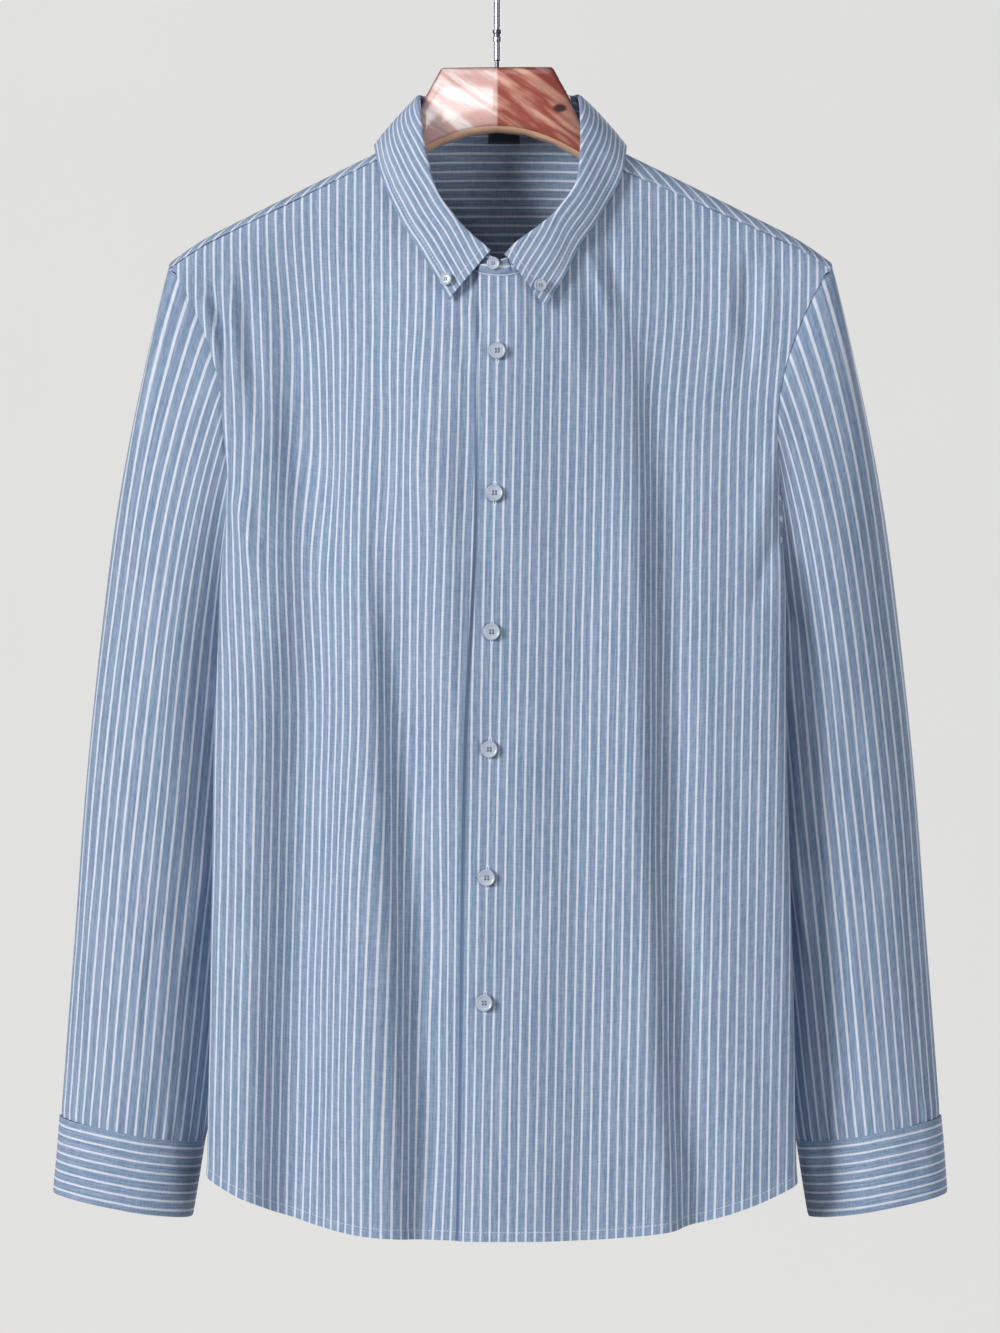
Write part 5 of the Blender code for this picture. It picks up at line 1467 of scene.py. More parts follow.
@dataclass
class Yoke:
    """The yoke over the shoulders, whose stripes run level across the back."""

    cut: Pattern
    rows: int = 64
    columns: tuple[int, int, int] = (16, 40, 62)
    flat: tuple[float, float] = (0.47, 0.17)
    area: float = 0.05
    slope: float = math.atan(0.5)
    arch: float = 0.5
    roll_over: float = 0.008
    arch_run: float = 0.02
    back_from: float = 0.01
    stitched: float = 0.01
    raised: tuple = (
        (Border.FIRST_COLUMN, 0.0006, 0.005),
        (Border.LAST_COLUMN, 0.0006, 0.005),
        (Border.LAST_ROW, 0.0003, 0.005),
    )

    def half(self, side: Side) -> tuple[np.ndarray, np.ndarray]:
        """Half of the yoke, by x and roll: rows from the neck out, columns from its front seam back."""
        cut, shoulder = self.cut, self.cut.form.shoulder
        front, arm, back = self.columns
        degrees = chain((cut.yoke_corner(side), 90, 0), (front, arm + back))
        neck_x = cut.neck_x * np.sin(np.radians(degrees))
        below = np.maximum(shoulder.z(neck_x) - cut.neck_drop(degrees), 0)
        neck_roll = np.sqrt(below) * np.where(degrees > 90, -1, 1)
        cross_x, cross_z = cut.cross["back"]
        tip_x = shoulder.tip_x
        x = tip_x - (tip_x - cut.armhole_x("back", cut.yoke_back_corner)) * np.linspace(0, 1, arm + 1) ** 2
        part = ((x - cross_x) / (tip_x - cross_x)) ** (1 / cut.armhole_curve)
        z = cross_z + (shoulder.z(tip_x) - cross_z) * part
        arm_roll = np.sqrt(np.maximum(shoulder.z(x) - z, 0))
        seam_x, seam_z = cut.back_seam(np.linspace(1, 0, back + 1)[1:])
        outer_x = np.concatenate([np.full(front, tip_x), x, seam_x])
        tip_roll = cut.yoke_end(side) * np.interp(np.arange(front) / front, (0, 0.5, 1), (1, 0.55, 0))
        outer_roll = np.concatenate([tip_roll, arm_roll, np.sqrt(shoulder.z(seam_x) - seam_z)])
        steps = np.linspace(0, 1, self.rows + 1)[:, None]
        x = side.value * (neck_x + steps * (outer_x - neck_x))
        return x, neck_roll + steps * (outer_roll - neck_roll)

    def measure(self, x: np.ndarray, roll: np.ndarray) -> np.ndarray:
        """The yoke laid flat about the ridge: distances across and along its stripes."""
        shares = np.linspace(0, 1, 21)[:, None, None]
        paths = self.cut.form.over_ridge(np.broadcast_to(x, (21, *x.shape)), roll * shares)
        over = np.linalg.norm(np.diff(paths, axis=0), axis=-1).sum(axis=0)
        shoulder = self.cut.form.shoulder
        fall = shoulder.z(0.0) - shoulder.z(x)
        behind = roll * roll + np.minimum(over - roll * roll, self.roll_over)
        behind = behind - self.arch * x * x * ramp(over / self.arch_run)
        drop = np.where(roll < 0, -over * math.cos(2 * self.slope), behind)
        return np.stack([fall + drop, x], -1)

    def build(self, finish: bpy.types.Material) -> Sheet:
        """Makes the yoke in its cloth and returns its sheet."""
        halves = [self.half(side) for side in Side]
        x, roll = (np.concatenate([a, b[:, -2::-1]], axis=1) for a, b in zip(*halves))
        sheet = Sheet(self.cut.form.over_ridge(x, roll))
        sheet.cloth = self.measure(x, roll)
        sheet.stitch(Border.FIRST_COLUMN, Border.LAST_COLUMN)
        seam = sheet.reach(Border.LAST_ROW)
        along_arm = (sheet.points[..., 1] > self.back_from) & (seam < self.stitched)
        sheet.edge[..., 0] = np.where(along_arm, seam, sheet.edge[..., 0])
        for border, height, width in self.raised:
            sheet.lift(border, height, width)
        made = show(sheet.shell("yoke_cloth", finish), "yoke")
        return sheet


# --- Sleeves, cuffs and plackets ---


@dataclass
class Sleeves:
    """The two hanging sleeves. Steps run round a sleeve from its inner side over its front."""

    cut: Pattern
    round: int = 23
    front_steps: int = 9
    yoke_steps: int = 6
    yoke_front_steps: int = 2
    rows: int = 150
    columns: int = 138
    cap_reach: float = 0.42
    clear: float = 0.0034
    clear_run: float = 0.06
    side_reach: float = 0.235
    seam_level: float = -0.848
    seam_tilt: float = 0.0085
    seam_dip: float = 0.003
    stripes: int = 38
    crease_stretch: float = 0.8
    gathers: tuple = (17, 22, 27, 33, 41)
    gather_height: float = 0.00035
    gather_reach: float = 0.016
    gather_seed: int = 23
    crumples: tuple[float, float] = (0.07, 0.0005)
    girth: float = 0.05
    seed: int = 31
    cap_smooth: float = 0.012
    drawn_in: tuple = ((Border.FIRST_ROW, -0.0007, 0.004), (Border.LAST_ROW, -0.0006, 0.004))
    flat: tuple[float, float] = (0.33, 0.62)

    def section(self, side: Side, step: Numbers, z: Numbers) -> np.ndarray:
        """Points of the hanging sleeve's section at level z."""
        rows = table(SLEEVE_ROWS, SLEEVE_COLUMNS)
        step, z = np.broadcast_arrays(np.asarray(step, float), np.asarray(z, float))
        at = {name: smooth(z, rows["z"], rows[name]) for name in SLEEVE_COLUMNS[1:]}
        turn = 2 * math.pi * step / self.round
        power = 2 / at["square"]
        cos, sin = np.cos(turn), np.sin(turn)
        half = (at["outer"] - at["inner"]) / 2
        x = at["outer"] - half - half * np.sign(cos) * np.abs(cos) ** power
        y = at["middle_y"] - at["half_depth"] * np.sign(sin) * np.abs(sin) ** power
        return np.stack([side.value * x, y, z], -1)

    def seam_z(self, step: Numbers) -> np.ndarray:
        """The cuff seam's level round the sleeve."""
        turn = 2 * np.pi * np.asarray(step) / self.round
        return self.seam_level - self.seam_tilt * np.cos(turn) - self.seam_dip * np.sin(turn)

    def armhole(self, side: Side, front: Sheet, yoke: Sheet, back: Sheet, arm_rows: tuple) -> np.ndarray:
        """The armhole's points at each of the sleeve's columns.

        Args:
            side: the wearer's side.
            front: the front's sheet.
            yoke: the yoke's.
            back: the back's.
            arm_rows: how many rows of the front and of the back lie along the armhole.

        Returns:
            The points, from the underarm over the front.
        """
        first = 0 if side is Side.RIGHT else -1
        front_edge = front.points[-1 - arm_rows[0] :, -1]
        end = sum(Yoke.columns[:2]) + 1
        yoke_edge = yoke.points[-1, :end] if side is Side.RIGHT else yoke.points[-1, : -end - 1 : -1]
        back_edge = back.points[-1 - arm_rows[1] :, first][::-1]
        stops = (0, self.front_steps, self.front_steps + self.yoke_steps, self.round)
        steps, line = [], []
        yoke_steps = chain((0, self.yoke_front_steps, self.yoke_steps), Yoke.columns[:2])
        for edge, low, high in zip((front_edge, yoke_edge, back_edge), stops, stops[1:]):
            places = low + yoke_steps if edge is yoke_edge else np.linspace(low, high, len(edge))
            steps.append(places[:-1])
            line.append(edge[:-1])
        steps = np.append(np.concatenate(steps), self.round)
        line = np.concatenate(line + [front_edge[:1]])
        at = np.arange(self.columns) * self.round / self.columns
        return np.stack([np.interp(at, steps, line[:, axis]) for axis in range(3)], -1)

    def clear_of_body(self, side: Side, points: np.ndarray) -> np.ndarray:
        """The sleeve's points, each moved out to where it clears the body's side at its own level."""
        form = self.cut.form
        top = self.cut.cross["front"][1]
        near = (np.abs(points[..., 0]) < self.side_reach) & (points[..., 2] < top)
        spots = points[near]
        z = spots[:, 2:]
        needed = self.clear * ramp((top - z[:, 0]) / self.clear_run)
        share = np.linspace(0.4, 1, 110)
        lines = []
        for face, order in (("front", 1), ("back", -1)):
            whole = form.seam_arc(face, side.value, z)
            lines.append(form.at_arc(face, side.value, share * whole, z)[:, ::order, :2])
        line = np.concatenate([lines[0], lines[1][:, 1:]], axis=1)
        nearest = np.argmin(np.linalg.norm(line - spots[:, None, :2], axis=-1), axis=1)
        pick = np.arange(len(spots))
        before = line[pick, np.maximum(nearest - 1, 0)]
        after = line[pick, np.minimum(nearest + 1, line.shape[1] - 1)]
        run = unit(after - before)
        out = np.stack([-run[:, 1], run[:, 0]], -1) * -side.value
        distance = np.sum((spots[:, :2] - line[pick, nearest]) * out, -1)
        short = np.maximum(needed - distance, 0) * (needed > 0)
        spots[:, :2] += out * short[:, None]
        points = points.copy()
        points[near] = spots
        return points

    def tube(self, side: Side, ring: np.ndarray) -> Sheet:
        """A sleeve: rows from the armhole down, columns round it."""
        steps = np.arange(self.columns) * self.round / self.columns
        start = self.section(side, steps, ring[:, 2])
        part = (np.linspace(0, 1, self.rows + 1) ** 1.1)[:, None]
        z = ring[:, 2] + part * (self.seam_z(steps) - ring[:, 2])
        left = (np.maximum(1 - part / self.cap_reach, 0) ** 2)[..., None]
        points = self.section(side, steps, z) + (ring - start) * left
        points[..., 2] = z
        points[1:] = self.clear_of_body(side, points[1:])
        sheet = Sheet(points, outwards=-side.value, closed=True)
        self.dress(sheet, side, steps, part)
        return sheet

    def dress(self, sheet: Sheet, side: Side, steps: np.ndarray, part: np.ndarray) -> None:
        """Gives a sleeve its cloth measure, creases and gathers.

        Args:
            sheet: the sleeve.
            side: the wearer's side.
            steps: each column's place round it.
            part: each row's share of the way down it.
        """
        ring = sheet.ring()
        walked = along(ring, 1)
        share = walked / walked[:, -1:]
        outer = self.columns // 2
        sheet.cloth[..., 0] = side.value * (share - share[:, outer : outer + 1]) * self.stripes * PITCH
        sheet.cloth[..., 1] = along(ring, 0)
        sheet.stitch(Border.LAST_ROW)
        sheet.edge[..., 0] = 1.0
        around = np.broadcast_to(steps / self.round, sheet.points.shape[:2])
        down = np.broadcast_to(part, around.shape)
        turn = 2 * np.pi * around
        small = creases(SLEEVE_CREASES[side.value], around, down, self.crease_stretch)
        draw = np.random.default_rng(self.gather_seed + side.value)
        waves = sum(draw.uniform(0.4, 1.0) * np.sin(n * turn + draw.uniform(0, 6.28)) for n in self.gathers)
        seam = sheet.reach(Border.LAST_ROW)
        small = small + self.gather_height * waves * np.exp(-((seam / self.gather_reach) ** 2))
        small = small + crumple(np.sin(turn) * self.girth, sheet.points[..., 2], *self.crumples, self.seed)
        sheet.move_out(small * ramp(sheet.reach(Border.FIRST_ROW) / self.cap_smooth))
        for border, height, width in self.drawn_in:
            sheet.lift(border, height, width)

    def build(self, sheets: dict, arm_rows: tuple[int, int], finish: bpy.types.Material) -> dict[Side, Sheet]:
        """Makes both sleeves.

        Args:
            sheets: the fronts by side, and the yoke and back by name.
            arm_rows: how many rows of the front and of the back lie along the armhole.
            finish: their cloth.

        Returns:
            Their sheets, by side.
        """
        made = {}
        for side in Side:
            ring = self.armhole(side, sheets[side], sheets["yoke"], sheets["back"], arm_rows)
            made[side] = self.tube(side, ring)
            name = f"sleeve_{side.word}"
            piece = show(made[side].shell(f"{name}_cloth", finish), name)
        return made


@dataclass
class Cuffs:
    """Barrel cuffs, whose ends lap at the back of the wrist."""

    sleeves: Sleeves
    height: float = 0.0535
    start: float = 16.6
    lap: float = 1.7
    apart: float = 0.002
    proud: float = 0.0003
    edge_pressed: tuple[float, float] = (-0.0004, 0.0012)
    crumples: tuple[float, float] = (0.03, 0.00035)
    seed: int = 41
    rows: int = 26
    columns: int = 150
    flat: tuple[float, float] = (0.262, 0.0535)

    def band(self, side: Side) -> Sheet:
        """A cuff: rows from its seam down, columns from its outer end round to its inner one."""
        whole = self.sleeves.round
        steps = np.linspace(self.start, self.start + whole + self.lap, self.columns + 1)
        top = self.sleeves.seam_z(steps)
        turn = 2 * np.pi * steps / whole
        climb = ramp((steps - self.start - self.lap - 1) / (whole - self.lap - 3))
        away = (climb - 0.5) * self.apart + self.proud
        out = np.stack([-side.value * np.cos(turn), -np.sin(turn), 0 * turn], -1)
        part = np.linspace(0, 1, self.rows + 1)[:, None]
        points = self.sleeves.section(side, steps, top - self.height * part) + out * away[:, None]
        sheet = Sheet(points, outwards=-side.value)
        sheet.measure(0)
        sheet.stitch(*Border)
        down, around = sheet.cloth[..., 0], sheet.cloth[..., 1]
        sheet.move_out(crumple(around, down, *self.crumples, self.seed + side.value))
        sheet.lift(Border.LAST_ROW, *self.edge_pressed)
        return sheet

    def build(self, finish: bpy.types.Material) -> None:
        """Makes both cuffs in their cloth."""
        for side in Side:
            name = f"cuff_{side.word}"
            made = show(self.band(side).shell(f"{name}_cloth", finish, LINED), name)


@dataclass
class Plackets:
    """The pointed strip over each sleeve's opening, up the back of the forearm."""

    ends: tuple[float, float] = (16.2, 17.8)
    length: float = 0.14
    point: float = 0.016
    foot: float = 0.0008
    rows: int = 48
    columns: int = 8
    flat: tuple[float, float] = (0.025, 0.156)

    def strip(self, sleeve: Sheet, round_steps: int) -> Sheet:
        """A placket, made from the sleeve's own points."""
        columns = sleeve.points.shape[1]
        reach = sleeve.reach(Border.LAST_ROW)
        points = np.zeros((self.rows + 1, self.columns + 1, 3))
        for k in range(self.columns + 1):
            across = k / self.columns
            place = (self.ends[0] + across * (self.ends[1] - self.ends[0])) * columns / round_steps
            low, part = int(place), place - int(place)
            tall = self.length + self.point * (1 - abs(2 * across - 1))
            for i in range(self.rows + 1):
                rise = self.foot + tall * i / self.rows
                for column, share in ((low % columns, 1 - part), ((low + 1) % columns, part)):
                    row = float(np.interp(rise, reach[::-1, column], np.arange(len(reach))[::-1]))
                    points[i, k] += share * sleeve.between(row, column, LINED)
        sheet = Sheet(points)
        sheet.measure(1)
        sheet.stitch(Border.LAST_ROW, Border.FIRST_COLUMN, Border.LAST_COLUMN)
        return sheet

    def build(self, sleeves: dict[Side, Sheet], round_steps: int, finish: bpy.types.Material) -> None:
        """Makes both plackets.

        Args:
            sleeves: the sleeves' sheets.
            round_steps: the steps round a sleeve.
            finish: their cloth.
        """
        for side in Side:
            sheet = self.strip(sleeves[side], round_steps)
            name = f"sleeve_placket_{side.word}"
            made = show(sheet.shell(f"{name}_cloth", finish, LINED), name)


# --- Collar and label ---


@dataclass
class Collar:
    """The stand, and the leaf that folds over it to the buttoned-down points."""

    cut: Pattern
    columns: tuple[int, int, int] = (12, 64, 76)
    leaf_rows: int = 34
    bow: float = 0.0008
    bulge: float = 0.001
    crumples: tuple[float, float] = (0.045, 0.0004)
    seed: int = 51
    smooth_fold: float = 0.02
    leaf_lift: float = 0.005
    roll: tuple = ((0.0, 0.0003), (0.0004, 0.002), (0.0016, 0.0024), (0.0026, 0.0008))
    roll_height: float = 0.003
    stand_flat: tuple[float, float] = (0.44, 0.034)
    stand_area: float = 0.0115
    leaf_flat: tuple[float, float] = (0.44, 0.06)

    def halves(self, side: Side, degrees: np.ndarray) -> tuple[np.ndarray, np.ndarray, np.ndarray]:
        """The neck seam, the fold and the leaf's edge on one side.

        Args:
            side: the wearer's side.
            degrees: places along them, from the back's centre.

        Returns:
            Their points.
        """
        form = self.cut.form
        line, leaf = table(COLLAR_FOLD, COLLAR_COLUMNS), table(LEAF_EDGE, LEAF_COLUMNS)
        own_x, own_z = f"{side.word}_x", f"{side.word}_z"
        fold = np.stack([smooth(degrees, line["degrees"], line[name]) for name in (own_x, "y", own_z)], -1)
        fold[:, 1] += np.where(degrees > 90, self.cut.closure.sink(side, fold[:, 0], fold[:, 2]), 0)
        fold[:, 0] *= side.value
        roll = leaf["face"] * np.sqrt(np.maximum(form.shoulder.z(leaf[own_x]) - leaf[own_z], 0))
        x = side.value * smooth(degrees, leaf["degrees"], leaf[own_x])
        roll = smooth(degrees, leaf["degrees"], roll)
        edge = form.over_ridge(x, roll) + form.lean_over_ridge(x, roll) * self.leaf_lift
        return self.cut.neck_points(side, degrees), fold, edge

    def sheets(self) -> tuple[Sheet, Sheet]:
        """The stand and the leaf, with columns from one end of the collar round the back to the other."""
        lines = []
        for side in Side:
            corner = self.cut.yoke_corner(side)
            degrees = chain((self.cut.lap_end(), 180, corner, 0), self.columns)
            lines.append(self.halves(side, degrees))
        bottom, fold, edge = (np.concatenate([a, b[-2::-1]]) for a, b in zip(*lines))
        run = unit(np.gradient(fold, axis=0))
        up = fold - bottom
        up = unit(up - run * np.sum(up * run, -1, keepdims=True))
        out = unit(np.cross(up, run))
        top = fold - up * self.roll_height
        rises = np.linspace(0, 1, 17)
        bow = self.bow * 4 * rises * (1 - rises)
        stand = Sheet([bottom * (1 - s) + top * s + out * b for s, b in zip(rises, bow)], outwards=-1)
        turns = np.linspace(0, 3, 10)
        outs, ups = (smooth(turns, np.arange(4), [pair[i] for pair in self.roll]) for i in (0, 1))
        rows = [top + out * o + up * u for o, u in zip(outs, ups)]
        for part in np.linspace(0, 1, self.leaf_rows + 1)[1:]:
            swell = self.bulge * 4 * part * (1 - part)
            rows.append(rows[len(turns) - 1] * (1 - part) + edge * part + out * swell)
        cut_off = self.columns[0] + round(self.columns[1] / 6)
        leaf = Sheet(np.array(rows)[:, cut_off:-cut_off])
        return stand, leaf

    def build(self, finish: bpy.types.Material, top_finish: bpy.types.Material) -> Sheet:
        """Makes the stand and the leaf.

        Args:
            finish: the stand's cloth.
            top_finish: the leaf's.

        Returns:
            The stand's sheet.
        """
        stand, leaf = self.sheets()
        stand.measure(0)
        leaf.cloth[..., 0] = leaf.reach(Border.LAST_ROW)
        leaf.cloth[..., 1] = along(leaf.points, 1)[-1:]
        leaf.stitch(Border.LAST_ROW, Border.FIRST_COLUMN, Border.LAST_COLUMN)
        waves = crumple(leaf.cloth[..., 1], leaf.cloth[..., 0], *self.crumples, self.seed)
        leaf.move_out(waves * ramp(leaf.reach(Border.FIRST_ROW) / self.smooth_fold))
        made = show(stand.shell("collar_stand_cloth", finish, LINED), "collar_stand")
        made = show(leaf.shell("collar_leaf_cloth", top_finish, LINED), "collar_leaf")
        return stand


@dataclass
class NeckLabel:
    """The bare label sewn inside the stand at the back."""

    ends: tuple[float, float] = (-0.0093, 0.0137)
    levels: tuple[float, float] = (-0.1462, -0.132)
    thickness: float = 0.0005
    row: int = 6
    near: int = 30

    def build(self, stand: Sheet, finish: bpy.types.Material) -> None:
        """Makes the label.

        Args:
            stand: the collar's stand.
            finish: the label's weave.
        """
        middle = stand.points.shape[1] // 2
        x = stand.points[self.row, middle - self.near : middle + self.near + 1, 0]
        columns = middle - self.near + np.flatnonzero((x > self.ends[0]) & (x < self.ends[1]))
        z = stand.points[:, middle, 2]
        share = np.interp(np.linspace(*self.levels, 13), z, np.arange(len(z)))
        sheet = Sheet([stand.between(place, columns, -LINED) for place in share], outwards=-1)
        sheet.measure(1)
        sheet.stitch(*Border)
        made = show(sheet.shell("neck_label_weave", finish, self.thickness), "neck_label")


# --- Hard pieces ---


class Bench:
    """The modelling bench: one mesh object at a time, shaped with the edit-mode operators."""

    @staticmethod
    def clear() -> None:
        """Deselects everything."""
        bpy.ops.object.select_all(action="DESELECT")

    @staticmethod
    def edit() -> None:
        """Goes into edit mode, with everything selected."""
        bpy.ops.object.mode_set(mode="EDIT")
        bpy.ops.mesh.select_all(action="SELECT")

    @staticmethod
    def leave() -> None:
        """Goes back to object mode."""
        bpy.ops.object.mode_set(mode="OBJECT")

    @staticmethod
    def settle() -> None:
        """Takes the object's place, turn and size into its mesh."""
        bpy.ops.object.transform_apply(location=True, rotation=True, scale=True)

    @staticmethod
    def pick(kind: str, test: Callable[[Vector, Vector], bool]) -> None:
        """Selects only the faces or edges whose middle and direction pass a test.

        Args:
            kind: "FACE" or "EDGE".
            test: takes the middle and the normal, which is zero for an edge.
        """
        bpy.ops.mesh.select_mode(type=kind)
        bpy.ops.mesh.select_all(action="DESELECT")
        shape = bmesh.from_edit_mesh(bpy.context.object.data)
        for item in shape.faces if kind == "FACE" else shape.edges:
            if kind == "FACE":
                chosen = test(item.calc_center_median(), item.normal)
            else:
                chosen = test((item.verts[0].co + item.verts[1].co) / 2, Vector())
            if chosen:
                item.select_set(True)
        shape.select_flush_mode()
        bmesh.update_edit_mesh(bpy.context.object.data)

    @staticmethod
    def finish(name: str, surface: bpy.types.Material, angle: float = 35) -> bpy.types.Object:
        """Ends a piece: normals out, place in its mesh, smooth but for its sharp edges.

        Args:
            name: the piece's name.
            surface: its finish.
            angle: edges sharper than this many degrees stay sharp.

        Returns:
            The piece.
        """
        Bench.edit()
        bpy.ops.mesh.remove_doubles(threshold=1e-6)
        bpy.ops.mesh.normals_make_consistent(inside=False)
        Bench.leave()
        made = bpy.context.object
        made.name = made.data.name = name
        Bench.settle()
        made.data.materials.clear()
        made.data.materials.append(surface)
        bpy.ops.object.shade_smooth_by_angle(angle=math.radians(angle))
        return made

    @staticmethod
    def apply(kind: str, **settings) -> None:
        """Adds a modifier to the piece and applies it."""
        modifier = bpy.context.object.modifiers.new(kind.title(), kind)
        for key, value in settings.items():
            setattr(modifier, key, value)
        bpy.ops.object.modifier_apply(modifier=modifier.name)

    @staticmethod
    def pull(by: tuple[float, float, float]) -> None:
        """Extrudes what is selected."""
        bpy.ops.mesh.extrude_region_move(TRANSFORM_OT_translate={"value": by})


@dataclass
class Buttons:
    """The four-hole buttons, each placed as its solid is, with its thread."""

    resin: bpy.types.Material
    thread: bpy.types.Material
    sides: int = 48
    thick: float = 0.0022
    body: float = 0.62
    rim_in: float = 0.04
    rim_up: float = 0.3
    dish: tuple = ((0.1, 0.0), (0.12, 0.17), (0.1, 0.04))
    round_by: tuple[float, float] = (0.045, 0.1)
    hole: float = 0.125
    hole_out: float = 0.24
    bar: float = 0.075
    bar_long: float = 2.5
    bar_up: float = 0.42
    bar_dip: float = 0.3

    def blank(self, radius: float) -> bpy.types.Object:
        """One button lying on its back at the origin: a rim, a dish and four holes.

        Args:
            radius: the button's.

        Returns:
            The button.
        """
        Bench.clear()
        bpy.ops.mesh.primitive_cylinder_add(vertices=self.sides, radius=radius, depth=self.thick * self.body)
        made = bpy.context.object
        Bench.edit()
        Bench.pick("FACE", lambda middle, normal: normal.z > 0.9)
        bpy.ops.mesh.inset(thickness=radius * self.rim_in, depth=0)
        Bench.pull((0, 0, self.thick * self.rim_up))
        for inset, drop in self.dish:
            bpy.ops.mesh.inset(thickness=radius * inset, depth=0)
            bpy.ops.transform.translate(value=(0, 0, -self.thick * drop))
        foot, top = -self.thick * self.body / 2, self.thick * 0.6
        Bench.pick("EDGE", lambda middle, normal: middle.z > top and math.hypot(*middle.xy) > radius * 0.8)
        bpy.ops.mesh.bevel(offset=radius * self.round_by[0], segments=3, affect="EDGES")
        Bench.pick("EDGE", lambda middle, normal: abs(middle.z - foot) < 1e-6)
        bpy.ops.mesh.bevel(offset=radius * self.round_by[1], segments=3, affect="EDGES")
        Bench.leave()
        for quarter in range(4):
            turn = math.pi / 4 + quarter * math.pi / 2
            out = self.hole_out * radius
            spot = (out * math.cos(turn), out * math.sin(turn), 0)
            Bench.clear()
            size = {"radius": self.hole * radius, "depth": self.thick * 3}
            bpy.ops.mesh.primitive_cylinder_add(vertices=16, location=spot, **size)
            drill = bpy.context.object
            Bench.clear()
            bpy.context.view_layer.objects.active = made
            made.select_set(True)
            Bench.apply("BOOLEAN", operation="DIFFERENCE", object=drill, solver="EXACT")
            bpy.data.objects.remove(drill, do_unlink=True)
        return Bench.finish("button_blank", self.resin, 40)

    def stitches(self, radius: float) -> bpy.types.Object:
        """The thread through a button's holes: two short raised bars side by side.

        Args:
            radius: the button's.

        Returns:
            The thread.
        """
        Bench.clear()
        out = self.hole_out * radius / math.sqrt(2)
        bars = []
        for way in (-1, 1):
            place = {"location": (way * out, 0, self.thick * self.bar_up), "rotation": (math.pi / 2, 0, 0)}
            size = {"radius": radius * self.bar, "depth": out * self.bar_long}
            bpy.ops.mesh.primitive_cylinder_add(vertices=10, **size, **place)
            bar = bpy.context.object
            Bench.settle()
            Bench.edit()
            bpy.ops.mesh.subdivide(number_cuts=3)
            for end in (-1, 1):
                Bench.pick("FACE", lambda middle, normal, end=end: middle.y * end > out * 0.95)
                bpy.ops.transform.translate(value=(0, 0, -self.thick * self.bar_dip))
            Bench.leave()
            bars.append(bar)
            Bench.clear()
        for bar in bars:
            bar.select_set(True)
        bpy.context.view_layer.objects.active = bars[0]
        bpy.ops.object.join()
        return Bench.finish("thread_blank", self.thread, 60)

    @staticmethod
    def seat(node: bpy.types.Object) -> Matrix:
        """Where a button's solid sits and which way it faces, worked out from its points."""
        points = np.empty(len(node.data.vertices) * 3)
        node.data.vertices.foreach_get("co", points)
        points = points.reshape(-1, 3)
        points = np.unique(np.round(points, 6), axis=0)
        middle = points.mean(axis=0)
        facing = np.linalg.svd(points - middle, full_matrices=False)[2][2]
        facing = facing * (-1 if abs(facing[1]) > 0.3 and facing[1] > 0 else 1)
        reach = (points - middle) @ facing
        centre = middle + facing * (reach.max() + reach.min()) / 2
        turn = Vector(facing).to_track_quat("Z", "Y").to_matrix().to_4x4()
        return Matrix.Translation(Vector(centre)) @ turn

    @staticmethod
    def place(blank: bpy.types.Object, name: str, matrix: Matrix) -> bpy.types.Object:
        """A copy of a blank with its own mesh, set at its place."""
        made = bpy.data.objects.new(name, blank.data.copy())
        made.data.name = name
        made.data.transform(matrix)
        bpy.context.scene.collection.objects.link(made)
        return made

    def build(self, nodes: dict[str, bpy.types.Object], groups: dict[float, tuple[str, ...]]) -> None:
        """Makes every button.

        Args:
            nodes: the model's pieces by name.
            groups: the buttons' names by their radius.
        """
        for radius, names in groups.items():
            blank, thread = self.blank(radius), self.stitches(radius)
            for name in names:
                matrix = self.seat(nodes[name])
                show(self.place(blank, f"{name}_resin", matrix), name)
                show(self.place(thread, f"{name}_thread", matrix))
            for spare in (blank, thread):
                bpy.data.objects.remove(spare, do_unlink=True)


